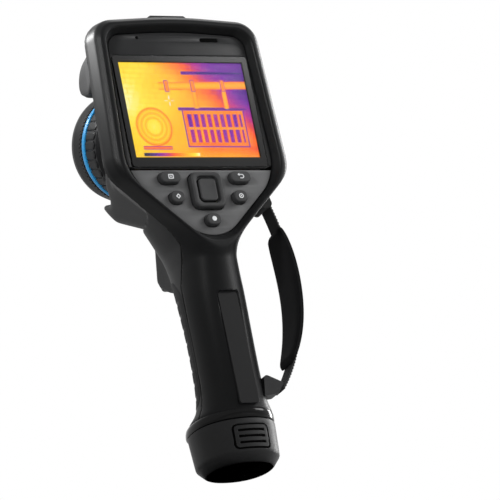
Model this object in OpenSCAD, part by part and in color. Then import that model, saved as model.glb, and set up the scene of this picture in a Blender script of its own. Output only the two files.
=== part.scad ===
// Pistol-grip thermal imaging camera, standing on its battery foot.
// X runs to the user's right, Y forward from the display to the lens, Z up the handle.
// The lens looks up by lens_tilt when the handle stands straight.

/* [Head] */
// Greatest half width of the head, at the rear rim
head_half_w = 58.6; // [57:0.1:59]
// Height of the top of the head above the foot
head_top = 276.2; // [275:0.1:277]
// Height of the middle of the picture on the display
display_z = 215; // [214:0.5:216]
// Width of the picture
picture_w = 81.3; // [80:0.1:82]
// Height of the picture
picture_h = 61; // [60:0.1:62]
// Wall thickness of the moulded shells
wall = 2.4; // [2.2:0.1:2.6]

/* [Lens] */
// Angle between the lens axis and the normal of the display
lens_tilt = 22; // [21.5:0.1:22.5]
// Height at which the lens axis crosses the plane of the handle
axis_z = 201; // [200.7:0.1:201.3]
// Radius of the coloured ring, the widest part of the lens
accent_r = 34.6; // [34.4:0.1:34.8]
// Distance of the front rim along the lens axis
lens_front = 84; // [83.5:0.1:84.5]
// Number of moulded teeth round the focus ring
focus_teeth = 36; // [30:1:40]

/* [Handle] */
// Half width of the grip at its waist
grip_half_w = 17.9; // [17.6:0.1:18.2]
// Number of finger ribs on the grip
grip_ribs = 8; // [6:1:9]
// Thickness of the soft grip skin
grip_skin = 1.5; // [1.3:0.1:1.6]
// Height of the battery cap under the collar
cap_h = 24.8; // [24.6:0.1:25]

/* [Strap] */
// Width of the padded part of the hand strap
pad_w = 26; // [24:1:28]
// Width of the woven strip that carries the pad
webbing_w = 11; // [10:0.5:11.4]

/* [Hidden] */
$fn = 64;

// Depth levels behind the display, along Y
rim_y = -21;
fascia_y = -15.5;
key_y = -19.5;
panel_t = 2;
rim_part_y = -6.5;
grip_part_y = 3;
grip_window_y = 4.6;
gap = 0.3;
handle_wall = 2.8;
arc_steps = 6;

// Height of the foot of the handle and of the collar
collar_z = cap_h + gap;
handle_z = 31;
glass_z = 213.85;
glass_w = 88.6;
glass_h = 71.3;

// Lens stations along the axis
floor_t = 38;
focus_t0 = 46.5;
focus_t1 = 62.6;
front_t0 = 67.2;
plate_t = 81.2;
bearing_r = 27.5;
bay = [25.6, 28, 95];
bay_y = 4;

// Point on the mid plane, given along and above the lens axis, as [y, z]
function tv(t, v) = [
  t * cos(lens_tilt) - v * sin(lens_tilt),
  axis_z + t * sin(lens_tilt) + v * cos(lens_tilt)
];
function tvr(t, v, r) = [tv(t, v).x, tv(t, v).y, r];
function unit(v) = v / norm(v);
function flat(p) = [p.x, p.y];

// Points of the arc of radius r that rounds the corner b between a and c
function fillet(a, b, c, r) =
  let (
    u = unit(a - b),
    w = unit(c - b),
    half = acos(u * w) / 2,
    mid = b + unit(u + w) * r / sin(half),
    s = b + u * r / tan(half) - mid,
    e = b + w * r / tan(half) - mid,
    a0 = atan2(s.y, s.x),
    da = (atan2(e.y, e.x) - a0 + 540) % 360 - 180
  ) [for (i = [0:arc_steps]) mid + r * [cos(a0 + da * i / arc_steps), sin(a0 + da * i / arc_steps)]];

// Outline of a list of [x, y, radius] corners with its corners rounded
function rounded(p) = [
  for (i = [0:len(p) - 1])
    let (a = flat(p[(i + len(p) - 1) % len(p)]), b = flat(p[i]), c = flat(p[(i + 1) % len(p)]))
      each p[i].z > 0 ? fillet(a, b, c, p[i].z) : [b]
];

// The same corners moved inward by d, for an outline that runs counter-clockwise
function inset(p, d) = [
  for (i = [0:len(p) - 1])
    let (
      a = flat(p[(i + len(p) - 1) % len(p)]),
      b = flat(p[i]),
      c = flat(p[(i + 1) % len(p)]),
      e1 = unit(b - a),
      e2 = unit(c - b),
      n1 = [-e1.y, e1.x],
      n2 = [-e2.y, e2.x],
      q = b + d * (n1 + n2) / (1 + n1 * n2)
    ) [q.x, q.y, max(p[i].z - d, 1)]
];

// Rear outline of the head: arched brow, slightly tapered sides and a V towards the handle
shield = [
  [0, 120, 20],
  [head_half_w, 176.3, 20],
  [54.8, head_top - 3.9, 15],
  [0, head_top, 300],
  [-54.8, head_top - 3.9, 15],
  [-head_half_w, 176.3, 20]
];

// Outer and inner edge of the crest of the rim, and the opening for the panels
crest_out = [
  [0, 120.8, 20],
  [head_half_w - 5.3, 172, 20],
  [49.8, head_top - 8.8, 10],
  [0, head_top - 5.2, 295],
  [-49.8, head_top - 8.8, 10],
  [5.3 - head_half_w, 172, 20]
];
crest_in = [
  [0, 123, 21],
  [head_half_w - 7.4, 172.2, 28],
  [47.5, head_top - 11, 11],
  [0, head_top - 7.6, 292],
  [-47.5, head_top - 11, 11],
  [7.4 - head_half_w, 172.2, 28]
];
recess = [
  [0, 126.5, 23.5],
  [head_half_w - 10.4, 172.8, 34],
  [44.6, head_top - 13.8, 9],
  [0, head_top - 10.6, 289],
  [-44.6, head_top - 13.8, 9],
  [10.4 - head_half_w, 172.8, 34]
];

// Outline of the head in front of the rim, with rounder shoulders
hood_outline = [
  [0, 120, 20],
  [head_half_w, 176.3, 20],
  [51.5, head_top - 3.6, 27],
  [0, head_top, 300],
  [-51.5, head_top - 3.6, 27],
  [-head_half_w, 176.3, 20]
];

// Corners of the twisted right half of the underside, from the V of the rim to the chin
keel = [[0, -7, 120], [75, -7, 193], [0, 75, 150.5], [75, 75, 263]];

// Plan of the head from above, as [x, y, radius], narrowing from the rear rim to the hood
function plan_half(rear) = [
  [57.6, rear, 0],
  [57.2, -4, 6],
  [49.5, 5, 20],
  [41.5, 25, 30],
  [35.8, 47, 20],
  [31.8, 58, 10],
  [24, 73, 4]
];
function plan(rear) = concat(
  plan_half(rear),
  [for (i = [6:-1:0]) let (p = plan_half(rear)[i]) [-p.x, p.y, p.z]]
);

// Narrower plan beside the lens, between the chin and the hood
function bay_half(rear) = [
  [57.6, rear, 0],
  [57.2, -4, 6],
  [49.2, 5, 20],
  [39.4, 24, 16],
  [33.8, 34.5, 6],
  [33.8, 95, 0]
];
function bay_plan(rear) = concat(
  bay_half(rear),
  [for (i = [5:-1:0]) let (p = bay_half(rear)[i]) [-p.x, p.y, p.z]]
);

// Side view of the front of the head: hood above the lens, open recess, chin below it
function head_side(rear) = [
  [rear, head_top + 1, 0],
  [rear, 132, 0],
  [22, 132, 0],
  [37, 160, 8],
  tvr(51.5, -46.8, 5),
  tvr(61.5, -39, 1.5),
  tvr(61.5, -35.3, 0),
  tvr(floor_t, -35.3, 12),
  tvr(floor_t, 28.6, 9),
  tvr(65.5, 28.6, 0),
  tvr(70, 32.8, 2),
  tvr(65.2, 52, 12),
  [27, head_top + 1, 20]
];

// Handle sections as [z, half width, front, rear]
handle_sections = [
  [handle_z, 24.3, 35.5, -15.4],
  [34, 21.5, 30.2, -16],
  [38, grip_half_w + 1.9, 26.4, -16.6],
  [44, grip_half_w + 0.8, 25.1, -17],
  [54, grip_half_w + 0.2, 24.2, -17.2],
  [66, grip_half_w, 23.8, -17.5],
  [80, grip_half_w, 23.9, -17.8],
  [92, grip_half_w + 0.2, 24.8, -18.1],
  [104, grip_half_w + 0.3, 26.4, -18.5],
  [114, grip_half_w, 28.6, -19],
  [124, grip_half_w - 0.1, 31, -19.8],
  [134, 19.4, 33, -20.6],
  [148, 26, 35, -21],
  [156, 30, 36, -21]
];
cap_sections = [
  [0, 19.4, 28.6, -7.8],
  [0.8, 20.4, 29.8, -9],
  [5.2, 24, 34, -12.8],
  [18, 24.8, 35.2, -13.5],
  [cap_h, 25.1, 35.8, -13.8]
];
ring_sides = 28;
section_power = 2 / 2.15;
rib_z0 = 48;
rib_pitch = 8.4;
rib_depth = 0.9;

// Value of column k of a section table at height z
function at(table, z, k) = lookup(z, [for (s = table) [s[0], s[k]]]);
function swell(c) = sign(c) * pow(abs(c), section_power);

// One ring of a lofted section, drawn in by d; dip draws the front in further
function section(table, z, d = 0, dip = 0) =
  let (
    a = at(table, z, 1) - d,
    f = at(table, z, 2) - d,
    r = at(table, z, 3) + d,
    mid = (f + r) / 2,
    depth = (f - r) / 2
  ) [
    for (i = [0:ring_sides - 1])
      let (
        th = 360 * i / ring_sides,
        s = max(sin(th), 0),
        pull = 1 - dip * s / max(depth, 1)
      ) [a * swell(cos(th)) * (1 - dip * s / (2 * a)), mid + depth * swell(sin(th)) * pull, z]
  ];

module loft(rings) {
  n = len(rings[0]);
  m = len(rings);
  polyhedron(
    points = [for (r = rings) each r],
    faces = concat(
      [[for (i = [n - 1:-1:0]) (m - 1) * n + i]],
      [[for (i = [0:n - 1]) i]],
      [for (j = [0:m - 2]) for (i = [0:n - 1]) [j * n + i, (j + 1) * n + i, (j + 1) * n + (i + 1) % n]],
      [for (j = [0:m - 2]) for (i = [0:n - 1])
        [j * n + i, (j + 1) * n + (i + 1) % n, j * n + (i + 1) % n]]
    )
  );
}

module handle_skin(d = 0) loft([for (s = handle_sections) section(handle_sections, s[0], d)]);

// Hollow of the handle, run out past both ends
module handle_core() loft([
  section(handle_sections, handle_z - 2, handle_wall),
  for (s = handle_sections) section(handle_sections, s[0], handle_wall),
  section(handle_sections, 158, handle_wall)
]);

// Profile in [y, z] carried across the object along X
module across(w) rotate([90, 0, 90]) linear_extrude(w, center = true) children();

// Outline in [x, z] carried along Y from y0 to y1
module along_y(y0, y1) translate([0, y1, 0]) rotate([90, 0, 0]) linear_extrude(y1 - y0) children();

// Local frame with Z along the lens axis, X to the right and Y downward
module on_lens_axis(t = 0) translate([0, 0, axis_z]) rotate([lens_tilt - 90, 0, 0])
  translate([0, 0, t]) children();

module ring(r0, r1, t0, t1) rotate_extrude() translate([r0, t0]) square([r1 - r0, t1 - t0]);

// Closed band through loops given as [outline, inset, y]
module rim_band(profile) {
  loops = [for (p = profile) [for (q = rounded(inset(p[0], p[1]))) [q.x, p[2], q.y]]];
  n = len(loops[0]);
  m = len(loops);
  polyhedron(
    points = [for (l = loops) each l],
    faces = [
      for (j = [0:m - 1]) for (i = [0:n - 1]) for (half = [0, 1])
        let (
          a = j * n + i,
          b = j * n + (i + 1) % n,
          c = ((j + 1) % m) * n + i,
          d = ((j + 1) % m) * n + (i + 1) % n
        ) half == 0 ? [a, d, b] : [a, c, d]
    ]
  );
}

module recess_2d(d) polygon(rounded(inset(recess, d)));
module rounded_rect(w, h, r) polygon(rounded([
  [-w / 2, -h / 2, r], [w / 2, -h / 2, r], [w / 2, h / 2, r], [-w / 2, h / 2, r]
]));

// Everything under the right half of the keel
module under_keel() polyhedron(
  points = concat([for (p = keel) [p.x, p.y, 60]], keel),
  faces = [
    [0, 1, 3, 2], [4, 6, 7], [4, 7, 5], [0, 4, 5, 1], [1, 5, 7, 3], [3, 7, 6, 2], [2, 6, 4, 0]
  ]
);

// Shoulders and keel that bound the head, drawn in by d
module head_bounds(d, rear) difference() {
  along_y(rear, 80) polygon(rounded(inset(hood_outline, 0.3 + d)));
  translate([0, 0, 1.5 * d]) for (side = [0, 1]) mirror([side, 0, 0]) under_keel();
}

// What the head leaves free beside the lens, grown by d
module lens_bay(d, rear) difference() {
  across(200) polygon([
    tv(-60, -35.3 - d), tv(95, -35.3 - d), tv(95, 28.6 + d), tv(46, 28.6 + d), [-60, 245 + d]
  ]);
  translate([0, 0, 90]) linear_extrude(220) offset(delta = -d) polygon(rounded(bay_plan(rear)));
}

// Solid head in front of the rim, drawn in by d
module head_solid(d, rear) difference() {
  intersection() {
    across(2 * head_half_w) offset(delta = -d) polygon(rounded(head_side(rear)));
    head_bounds(d, rear);
    translate([0, 0, 100]) linear_extrude(200) offset(delta = -d) polygon(rounded(plan(rear)));
  }
  lens_bay(d, rear - 1);
}

module battery_bay(clear, top) translate([0, bay_y, 0]) linear_extrude(top)
  rounded_rect(bay.x + 2 * clear, bay.y + 2 * clear, 8);

plaque_w = 12.4;
plaque_h = 68;
plaque_mid = 66;
module plaque_frame() translate([0, -16.7, plaque_mid]) rotate([1.1, 0, 0]) children();

module rear_housing() color("#2a2b2d") difference() {
  union() {
    rim_band([
      [shield, 0, rim_part_y], [shield, 0, -13.2], [crest_out, -0.5, -20.2], [crest_out, 0.5, rim_y],
      [crest_in, 0, rim_y], [recess, 0, fascia_y], [recess, 0, fascia_y + panel_t + 1],
      [shield, wall, fascia_y + panel_t + 2.4], [shield, wall, rim_part_y]
    ]);
    intersection() {
      difference() {
        handle_skin();
        handle_core();
      }
      across(100) polygon([[-40, handle_z - 1], [grip_part_y, handle_z - 1], [grip_part_y, 112],
        [rim_part_y, 134], [rim_part_y, 146], [-40, 146]]);
    }
  }
  along_y(-30, rim_part_y + 1) recess_2d(0);
  plaque_frame() translate([-plaque_w / 2 - 0.15, -3, -plaque_h / 2 - 0.15])
    cube([plaque_w + 0.3, 3, plaque_h + 0.3]);
  cover_pocket();
  strap_lug();
}

grip_window = [
  [grip_window_y, 40, 6], [40, 40, 0], [40, 122, 0], [26, 122, 4], [13, 118, 10], [grip_window_y, 108, 10]
];
rib_rings = [
  each [36, 40, rib_z0 - rib_pitch / 2],
  for (i = [0:grip_ribs - 1]) for (k = [-0.28, -0.1, 0.1, 0.5]) rib_z0 + rib_pitch * (i + k),
  each [rib_z0 + rib_pitch * (grip_ribs + 0.3), 124]
];
function rib_dip(z) =
  let (u = (z - rib_z0) / rib_pitch)
    (u < -0.3 || u > grip_ribs - 0.8) ? 0 : (abs(u - round(u)) < 0.15 ? rib_depth : 0);

module grip_overmould() color("#333436") intersection() {
  difference() {
    loft([for (z = rib_rings) section(handle_sections, z, 0, rib_dip(z))]);
    handle_skin(grip_skin);
  }
  across(100) polygon(rounded(inset(grip_window, 0.1)));
}

// Side profile of the moulded nose that carries the trigger and the focus button
trigger_nose = [
  [20, 160, 0], [20, 116.5, 0], [30, 117.5, 4], [37, 121, 4], [45.6, 126.5, 3], [48.6, 132, 4],
  [43.4, 152, 10], [38.5, 160.5, 0], [37, 164, 0]
];
nose_half_w = 9.4;
button_half_w = 5.8;
lean = 14.5;
module nose_frame(z) translate([0, 48.6 - (z - 132) * tan(lean), z]) rotate([lean, 0, 0]) children();

module arch(r, t0) on_lens_axis(t0) cylinder(r = r, h = 95 - t0);
arch_r = 36.8;
module head_core() difference() {
  head_solid(wall, -30);
  arch(arch_r + wall, floor_t - wall);
}
module front_housing() color("#2c2d2f") difference() {
  union() {
    head_solid(0, rim_part_y);
    intersection() {
      handle_skin();
      across(100) polygon([[60, handle_z - 1], [grip_part_y, handle_z - 1], [grip_part_y, 112],
        [rim_part_y, 134], [rim_part_y, 152], [60, 152]]);
    }
    across(2 * nose_half_w) polygon(rounded(trigger_nose));
  }
  head_core();
  handle_core();
  arch(arch_r, floor_t);
  on_lens_axis(floor_t - 8) cylinder(r = 25.4, h = 9);
  intersection() {
    difference() {
      handle_skin(-2);
      handle_skin(grip_skin);
    }
    across(100) polygon(rounded(grip_window));
  }
  nose_frame(134.4) button_pocket(15.6);
  nose_frame(150) button_pocket(12);
  for (side = [-1, 1]) panel_prism(side, 0.12, 1.4);
  hood_face() window_outline(1.7, 0.12);
  hood_face() translate([11, 0.3, -12]) linear_extrude(12) rounded_rect(25.4, 8.8, 4.2);
  cover_pocket();
  port_bay();
  strap_ears();
}

module button_pocket(h) {
  translate([-button_half_w - 0.35, -9.5, -h / 2 - 0.35]) cube([2 * button_half_w + 0.7, 18, h + 0.7]);
  translate([0, -28, 0]) rotate([-90, 0, 0]) cylinder(r = 2.2, h = 30);
}

// Flush dark panel in each side wall of the head
panel_side = [[-3.4, 179, 5], [20, 189, 8], [24.5, 243, 5], [-3.4, 240, 4]];
module panel_prism(side, grow, depth) intersection() {
  translate([0, 0, 150]) linear_extrude(120) intersection() {
    difference() {
      polygon(rounded(bay_plan(-30)));
      offset(delta = -depth) polygon(rounded(bay_plan(-30)));
    }
    translate([side > 0 ? 0 : -80, -40]) square([80, 120]);
  }
  head_bounds(0, -30);
  across(140) offset(delta = grow) polygon(rounded(panel_side));
}
module side_panel_left() color("#17181a") panel_prism(-1, 0, 1.3);
module side_panel_right() color("#17181a") panel_prism(1, 0, 1.3);

// Local frame of the raked front face of the hood: Z out of the face, Y upward
hood_low = tv(70, 32.8);
hood_high = tv(65.2, 52);
hood_rake = atan2(hood_low.x - hood_high.x, hood_high.y - hood_low.y);
module hood_face() translate([0, (hood_low.x + hood_high.x) / 2, (hood_low.y + hood_high.y) / 2])
  rotate([90 - hood_rake, 0, 180]) children();

module window_2d() difference() {
  translate([0, 0.2]) rounded_rect(52, 13.4, 6);
  translate([0, -44.6]) circle(r = 40.1);
}
module window_outline(depth, grow) translate([0, 0, -depth]) linear_extrude(depth + 6)
  offset(delta = grow) window_2d();
module hood_window() color("#0c0d0f") hood_face() translate([0, 0, -1.6]) linear_extrude(1.5) difference() {
  window_2d();
  translate([11, 0.3]) rounded_rect(25, 8.4, 4.1);
}

module fascia() color("#202123") along_y(fascia_y, fascia_y + panel_t) difference() {
  recess_2d(0.1);
  translate([0, glass_z]) rounded_rect(glass_w + 0.3, glass_h + 0.3, 2.2);
  translate([0, 100]) square([200, 2 * (keypad_top + 0.1 - 100)], center = true);
  translate([-25, 261]) circle(r = 1);
  translate([22, 260]) rounded_rect(12, 2.4, 1.1);
}

// V-shaped keypad plate below the display
keypad_top = 177.4;
key_clear = 0.25;
module keypad_outline() intersection() {
  recess_2d(0.1);
  translate([0, 100]) square([200, 2 * (keypad_top - 100)], center = true);
}
keys = [
  ["key_archive", -22.8, 171, 13, 6.8, 3],
  ["key_program", -20.4, 158.7, 8.6, 7.2, 3.2],
  ["key_back", 22.8, 171, 13, 6.8, 3],
  ["key_mode", 20.4, 158.7, 8.6, 7.2, 3.2],
  ["key_power", 0, 144.6, 9.2, 7, 3.2]
];
nav_z = 163;
nav_w = 20;
nav_h = 22;
center_w = 11;
center_h = 13.8;
module keypad_panel() color("#46484b") along_y(fascia_y, fascia_y + panel_t) difference() {
  keypad_outline();
  for (k = keys) translate([k[1], k[2]])
    rounded_rect(k[3] + 2 * key_clear, k[4] + 2 * key_clear, k[5] + key_clear);
  translate([0, nav_z]) rounded_rect(nav_w + 1, nav_h + 1, 4.5);
}

// A key cap with a retaining flange behind the plate
module key(i) {
  k = keys[i];
  color("#2f3032") union() {
    along_y(key_y + 0.7, -12.6) translate([k[1], k[2]]) rounded_rect(k[3], k[4], k[5]);
    along_y(key_y, key_y + 0.7) translate([k[1], k[2]]) rounded_rect(k[3] - 1.2, k[4] - 1.2, k[5] - 0.6);
    along_y(-13.2, -12.4) translate([k[1], k[2]]) rounded_rect(k[3] + 1.2, k[4] + 1.2, k[5] + 0.6);
  }
}
module key_archive() key(0);
module key_program() key(1);
module key_back() key(2);
module key_mode() key(3);
module key_power() key(4);

// Four-way pad on a gimbal frame, with a push key through its middle
module nav_gimbal() color("#8c9094") {
  along_y(-11.4, -10.6) translate([0, nav_z]) difference() {
    rounded_rect(19, 21, 3);
    rounded_rect(14.5, 17, 2);
  }
  for (side = [-1, 1]) translate([side * 10, -11, nav_z]) rotate([0, 90, 0])
    cylinder(r = 0.6, h = 2, center = true);
  for (side = [-1, 1]) translate([0, -11, nav_z + side * 11]) cylinder(r = 0.6, h = 2, center = true);
}
module nav_pad() color("#2f3032") difference() {
  union() {
    along_y(key_y + 0.8, -12.2) translate([0, nav_z]) rounded_rect(nav_w, nav_h, 4);
    along_y(key_y, key_y + 0.8) translate([0, nav_z]) rounded_rect(nav_w - 1.6, nav_h - 1.6, 3.4);
  }
  along_y(-30, 0) translate([0, nav_z]) rounded_rect(center_w + 1.2, center_h + 1.2, 3);
  along_y(-30, key_y + 0.6) translate([0, nav_z]) rounded_rect(center_w + 3.4, center_h + 3.4, 3.6);
}
module nav_center() color("#36383a") along_y(key_y + 0.3, -11.8) translate([0, nav_z])
  rounded_rect(center_w, center_h, 2.4);

module display_glass() color("#050506") along_y(-16, -14.6) translate([0, glass_z])
  rounded_rect(glass_w, glass_h, 2);
module display_gasket() color("#101112") along_y(-14.6, -13.4) translate([0, glass_z]) difference() {
  rounded_rect(glass_w - 0.6, glass_h - 0.6, 1.8);
  rounded_rect(glass_w - 4, glass_h - 4, 1.5);
}
module lcd_panel() color("#2b2350") along_y(-14.5, -11.6) translate([0, display_z])
  rounded_rect(picture_w + 2, picture_h + 2, 0.8);

module keypad_board() color("#1d5c37") along_y(-8.6, -7.2) difference() {
  intersection() {
    recess_2d(3);
    translate([0, 100]) square([66, 2 * (174.6 - 100)], center = true);
  }
  for (x = [-26, 26]) translate([x, 166]) circle(r = 1.2);
}
module chassis_plate() color("#9a9da1") {
  difference() {
    along_y(-10.4, -9) translate([0, 220]) rounded_rect(88, 82, 4);
    for (x = [-30, 0, 30]) for (z = [196, 222, 246]) along_y(-11, -8) translate([x, z])
      rounded_rect(16, 12, 3);
  }
  for (x = [-37, 37]) for (z = [185, 257]) translate([x, -9.1, z]) rotate([-90, 0, 0])
    cylinder(r = 2.4, h = 2.7);
}
module main_board() color("#1d5c37") {
  along_y(-6.4, -4.8) translate([0, 221]) difference() {
    rounded_rect(82, 80, 3);
    for (x = [-37, 37]) for (z = [-36, 36]) translate([x, z]) circle(r = 1.6);
  }
  for (b = [[-18, 232, 16], [10, 238, 20], [24, 206, 12], [-22, 202, 14]])
    along_y(-4.8, -3) translate([b.x, b.y]) square(b.z, center = true);
}
module speaker() color("#3a3b3d") translate([22, -13.2, 259.6]) rotate([-90, 0, 0]) difference() {
  cylinder(r = 4, h = 2.4);
  translate([0, 0, -0.1]) cylinder(r = 3.4, h = 0.6);
}
module label_plaque() color("#1a1b1c") plaque_frame() translate([-plaque_w / 2, -0.7, -plaque_h / 2])
  cube([plaque_w, 0.7, plaque_h]);

// Connector bay in the top of the head, under a cover hinged along its left edge
cover_w = 27;
cover_y0 = -10.4;
cover_y1 = 36;
port_y0 = -4.6;
cover_seat = head_top - 1.4;
hinge_x = -11.2;
hinge_z = cover_seat + 1.5;
module port_bay() translate([-7.5, port_y0 + 5, cover_seat - 17]) cube([16, cover_y1 - port_y0 - 10, 20]);
module cover_pocket() {
  translate([-cover_w / 2 - gap, cover_y0 - gap, cover_seat])
    cube([cover_w + 2 * gap, cover_y1 - cover_y0 + 2 * gap, 10]);
  translate([-cover_w / 2 - 0.9, cover_y0 - gap, cover_seat - 0.6])
    cube([5, cover_y1 - cover_y0 + 2 * gap, 8]);
  translate([cover_w / 2 - 1, 13.6, cover_seat]) cube([2.4, 6.8, 8]);
}
module port_cover() color("#3a3b3e") difference() {
  union() {
    translate([0, cover_y1, 0]) rotate([90, 0, 0]) linear_extrude(cover_y1 - cover_y0)
      polygon(rounded([
        [hinge_x, cover_seat + 0.2, 0],
        [cover_w / 2, cover_seat + 0.2, 0.4],
        [cover_w / 2, cover_seat + 1.8, 0.6],
        [cover_w / 2 - 2, head_top + 2.2, 1.2],
        [-cover_w / 2 + 2.6, head_top + 2.2, 1.2],
        [hinge_x, cover_seat + 3.2, 0]
      ]));
    translate([hinge_x, cover_y1, hinge_z]) rotate([90, 0, 0]) cylinder(r = 1.7, h = cover_y1 - cover_y0);
    translate([cover_w / 2 - 0.2, 14, cover_seat + 0.6]) cube([1.2, 6, 1.2]);
  }
  translate([hinge_x, cover_y1 + 1, hinge_z]) rotate([90, 0, 0])
    cylinder(r = 0.85, h = cover_y1 - cover_y0 + 2);
}
module port_hinge_pin() color("#b9bcc0") translate([hinge_x, cover_y1 + gap, hinge_z]) rotate([90, 0, 0])
  cylinder(r = 0.8, h = cover_y1 - cover_y0 + 2 * gap);
board_z = cover_seat - 16;
module port_board() color("#1d5c37") translate([-7, port_y0 + 5.4, board_z - 0.1]) cube([15, 28, 1.6]);
module socket_shell(w, l, h, r) difference() {
  linear_extrude(h) rounded_rect(w, l, r);
  translate([0, 0, 1.2]) linear_extrude(h) rounded_rect(w - 1, l - 1, max(r - 0.5, 0.4));
}
socket_z = board_z + 1.5;
module usb_socket() color("#b9bcc0") translate([0.5, port_y0 + 10.6, socket_z])
  socket_shell(3.6, 9.2, 8.6, 1.5);
module hdmi_socket() color("#b9bcc0") translate([0.5, port_y0 + 21, socket_z])
  socket_shell(3.4, 7.2, 8.6, 0.8);
module card_slot() color("#8d9094") translate([0.8, port_y0 + 30, socket_z]) difference() {
  translate([-5.6, -2, 0]) cube([11.6, 4, 8.6]);
  translate([-5, -0.8, 1.4]) cube([10.4, 1.6, 8]);
}

// Laser pointer in the hood, parallel to the lens
module laser_frame(t) on_lens_axis(t) translate([-10, -43, 0]) children();
module laser_module() color("#1b1c1e") laser_frame(50) difference() {
  cylinder(r = 3.6, h = 10);
  translate([0, 0, 7.6]) cylinder(r = 3, h = 3);
}
module laser_lens() color("#3c4650") laser_frame(57.62) rotate_extrude()
  polygon([[0, 0], [2.9, 0], [2.9, 0.8], [2.1, 1.5], [1.1, 1.9], [0, 2]]);

// Lens: fixed mount and barrel, a focus ring that turns on it, and the front group
module lens_mount() color("#4b4d50") on_lens_axis() difference() {
  rotate_extrude() polygon([
    [22.2, floor_t - 2], [25.2, floor_t - 2], [25.2, floor_t + 0.02], [32, floor_t + 0.02],
    [32, floor_t + 4.6], [30.8, floor_t + 5.6], [22.2, floor_t + 5.6]
  ]);
  for (i = [0:3]) rotate(45 + 90 * i) translate([29.4, 0, floor_t]) cylinder(r = 1.3, h = 12);
}
module mount_screws() color("#9a9da1") on_lens_axis(floor_t + 0.1) for (i = [0:3]) rotate(45 + 90 * i)
  translate([29.4, 0, 0]) difference() {
    union() {
      cylinder(r = 1.2, h = 5.6);
      translate([0, 0, 5.5]) cylinder(r = 2.1, h = 1.2);
    }
    translate([0, 0, 5.9]) cylinder(r = 1, h = 2, $fn = 6);
  }
module lens_barrel() color("#1f2022") on_lens_axis() rotate_extrude() polygon([
  [15.4, 30], [22, 30], [22, floor_t + 5.8], [bearing_r - 1.5, floor_t + 5.8], [bearing_r, focus_t0 - 0.6],
  [bearing_r, front_t0 + 6], [21.2, front_t0 + 6], [21.2, 72], [15.4, 68], [15.4, 55],
  [12.6, 55], [12.6, 50], [15.4, 50]
]);
tooth_t0 = focus_t0 + 2.6;
tooth_len = 9.4;
module focus_ring() color("#1c1d1f") on_lens_axis() difference() {
  rotate_extrude() polygon([[bearing_r + 0.05, focus_t0], [32.1, focus_t0], [33.7, focus_t0 + 1.6],
    [33.7, focus_t1], [bearing_r + 0.05, focus_t1]]);
  for (i = [0:focus_teeth - 1]) rotate(360 * i / focus_teeth) {
    translate([32.6, -0.45, tooth_t0 + 2.6]) cube([3, 0.9, tooth_len]);
    translate([32.6, 0, tooth_t0 + 2.6]) rotate([-38, 0, 0]) translate([0, -0.45, -3.6]) cube([3, 0.9, 4]);
  }
}
module accent_ring() color("#2f8fc8") on_lens_axis() rotate_extrude() polygon([
  [bearing_r + 0.05, focus_t1 + 0.02], [accent_r - 1, focus_t1 + 0.02],
  [accent_r, focus_t1 + 1], [accent_r, focus_t1 + 2.6],
  [accent_r - 1, focus_t1 + 3.6], [bearing_r + 0.05, focus_t1 + 3.6]
]);
module front_ring() color("#2b2c2e") on_lens_axis() rotate_extrude() polygon([
  [bearing_r + 0.02, front_t0 - 0.4], [33.2, front_t0 - 0.4], [34.1, front_t0 + 0.4], [34.1, front_t0 + 3],
  [33.7, front_t0 + 3.6], [33.8, lens_front - 4.6], [33, lens_front - 0.9],
  [32, lens_front], [30.4, lens_front],
  [28.8, lens_front - 2], [28.8, 77], [bearing_r + 0.02, 77]
]);
lamp_y = 23.2;
lamp_x = 10.4;
module lamp_2d(grow) offset(delta = grow) intersection() {
  polygon(rounded([[-12.4, 18.4, 2], [12.4, 18.4, 2], [17.4, 30, 2], [-17.4, 30, 2]]));
  circle(r = 28.2);
}
module front_plate() color("#0d0e10") on_lens_axis() difference() {
  translate([0, 0, 77.05]) linear_extrude(plate_t - 77.05) difference() {
    intersection() {
      circle(r = 28.6);
      translate([-40, -24.4]) square([80, 80]);
    }
    lamp_2d(0.15);
  }
  translate([0, 0, 70]) cylinder(r = 17.2, h = 20);
  translate([0, 0, 78.4]) cylinder(r1 = 17.2, r2 = 19.6, h = plate_t - 78.4 + 0.01);
}
module lamp_bar() color("#0f1012") on_lens_axis() difference() {
  translate([0, 0, 77.05]) linear_extrude(plate_t - 77.05 - 0.2) lamp_2d(0);
  for (x = [-lamp_x, lamp_x]) translate([x, lamp_y, 78]) cylinder(r = 3, h = 6);
  translate([0, lamp_y + 0.6, 78]) cylinder(r = 3.3, h = 6);
}
module lamps() color("#c9ccc4") on_lens_axis() for (x = [-lamp_x, lamp_x]) translate([x, lamp_y, 78.02])
  rotate_extrude() polygon([[0, 0], [2.8, 0], [2.8, 1], [2.2, 1.7], [1.2, 2.1], [0, 2.2]]);
module visible_camera() color("#23262c") on_lens_axis() translate([0, lamp_y + 0.6, 78.02]) rotate_extrude()
  polygon([[0, 0], [3.2, 0], [3.2, 2.6], [2.3, 2.6], [1.9, 1.8], [1, 2.1], [0, 2.2]]);
module retaining_ring() color("#26272a") on_lens_axis() difference() {
  rotate_extrude() polygon([
    [12.7, 76.2], [17.1, 76.2], [17.1, 79], [15.4, 79.4], [13.2, 77.8], [12.7, 77.6]
  ]);
  for (i = [0:3]) rotate(90 * i) translate([14, -0.7, 77.9]) cube([6, 1.4, 3]);
}
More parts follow.
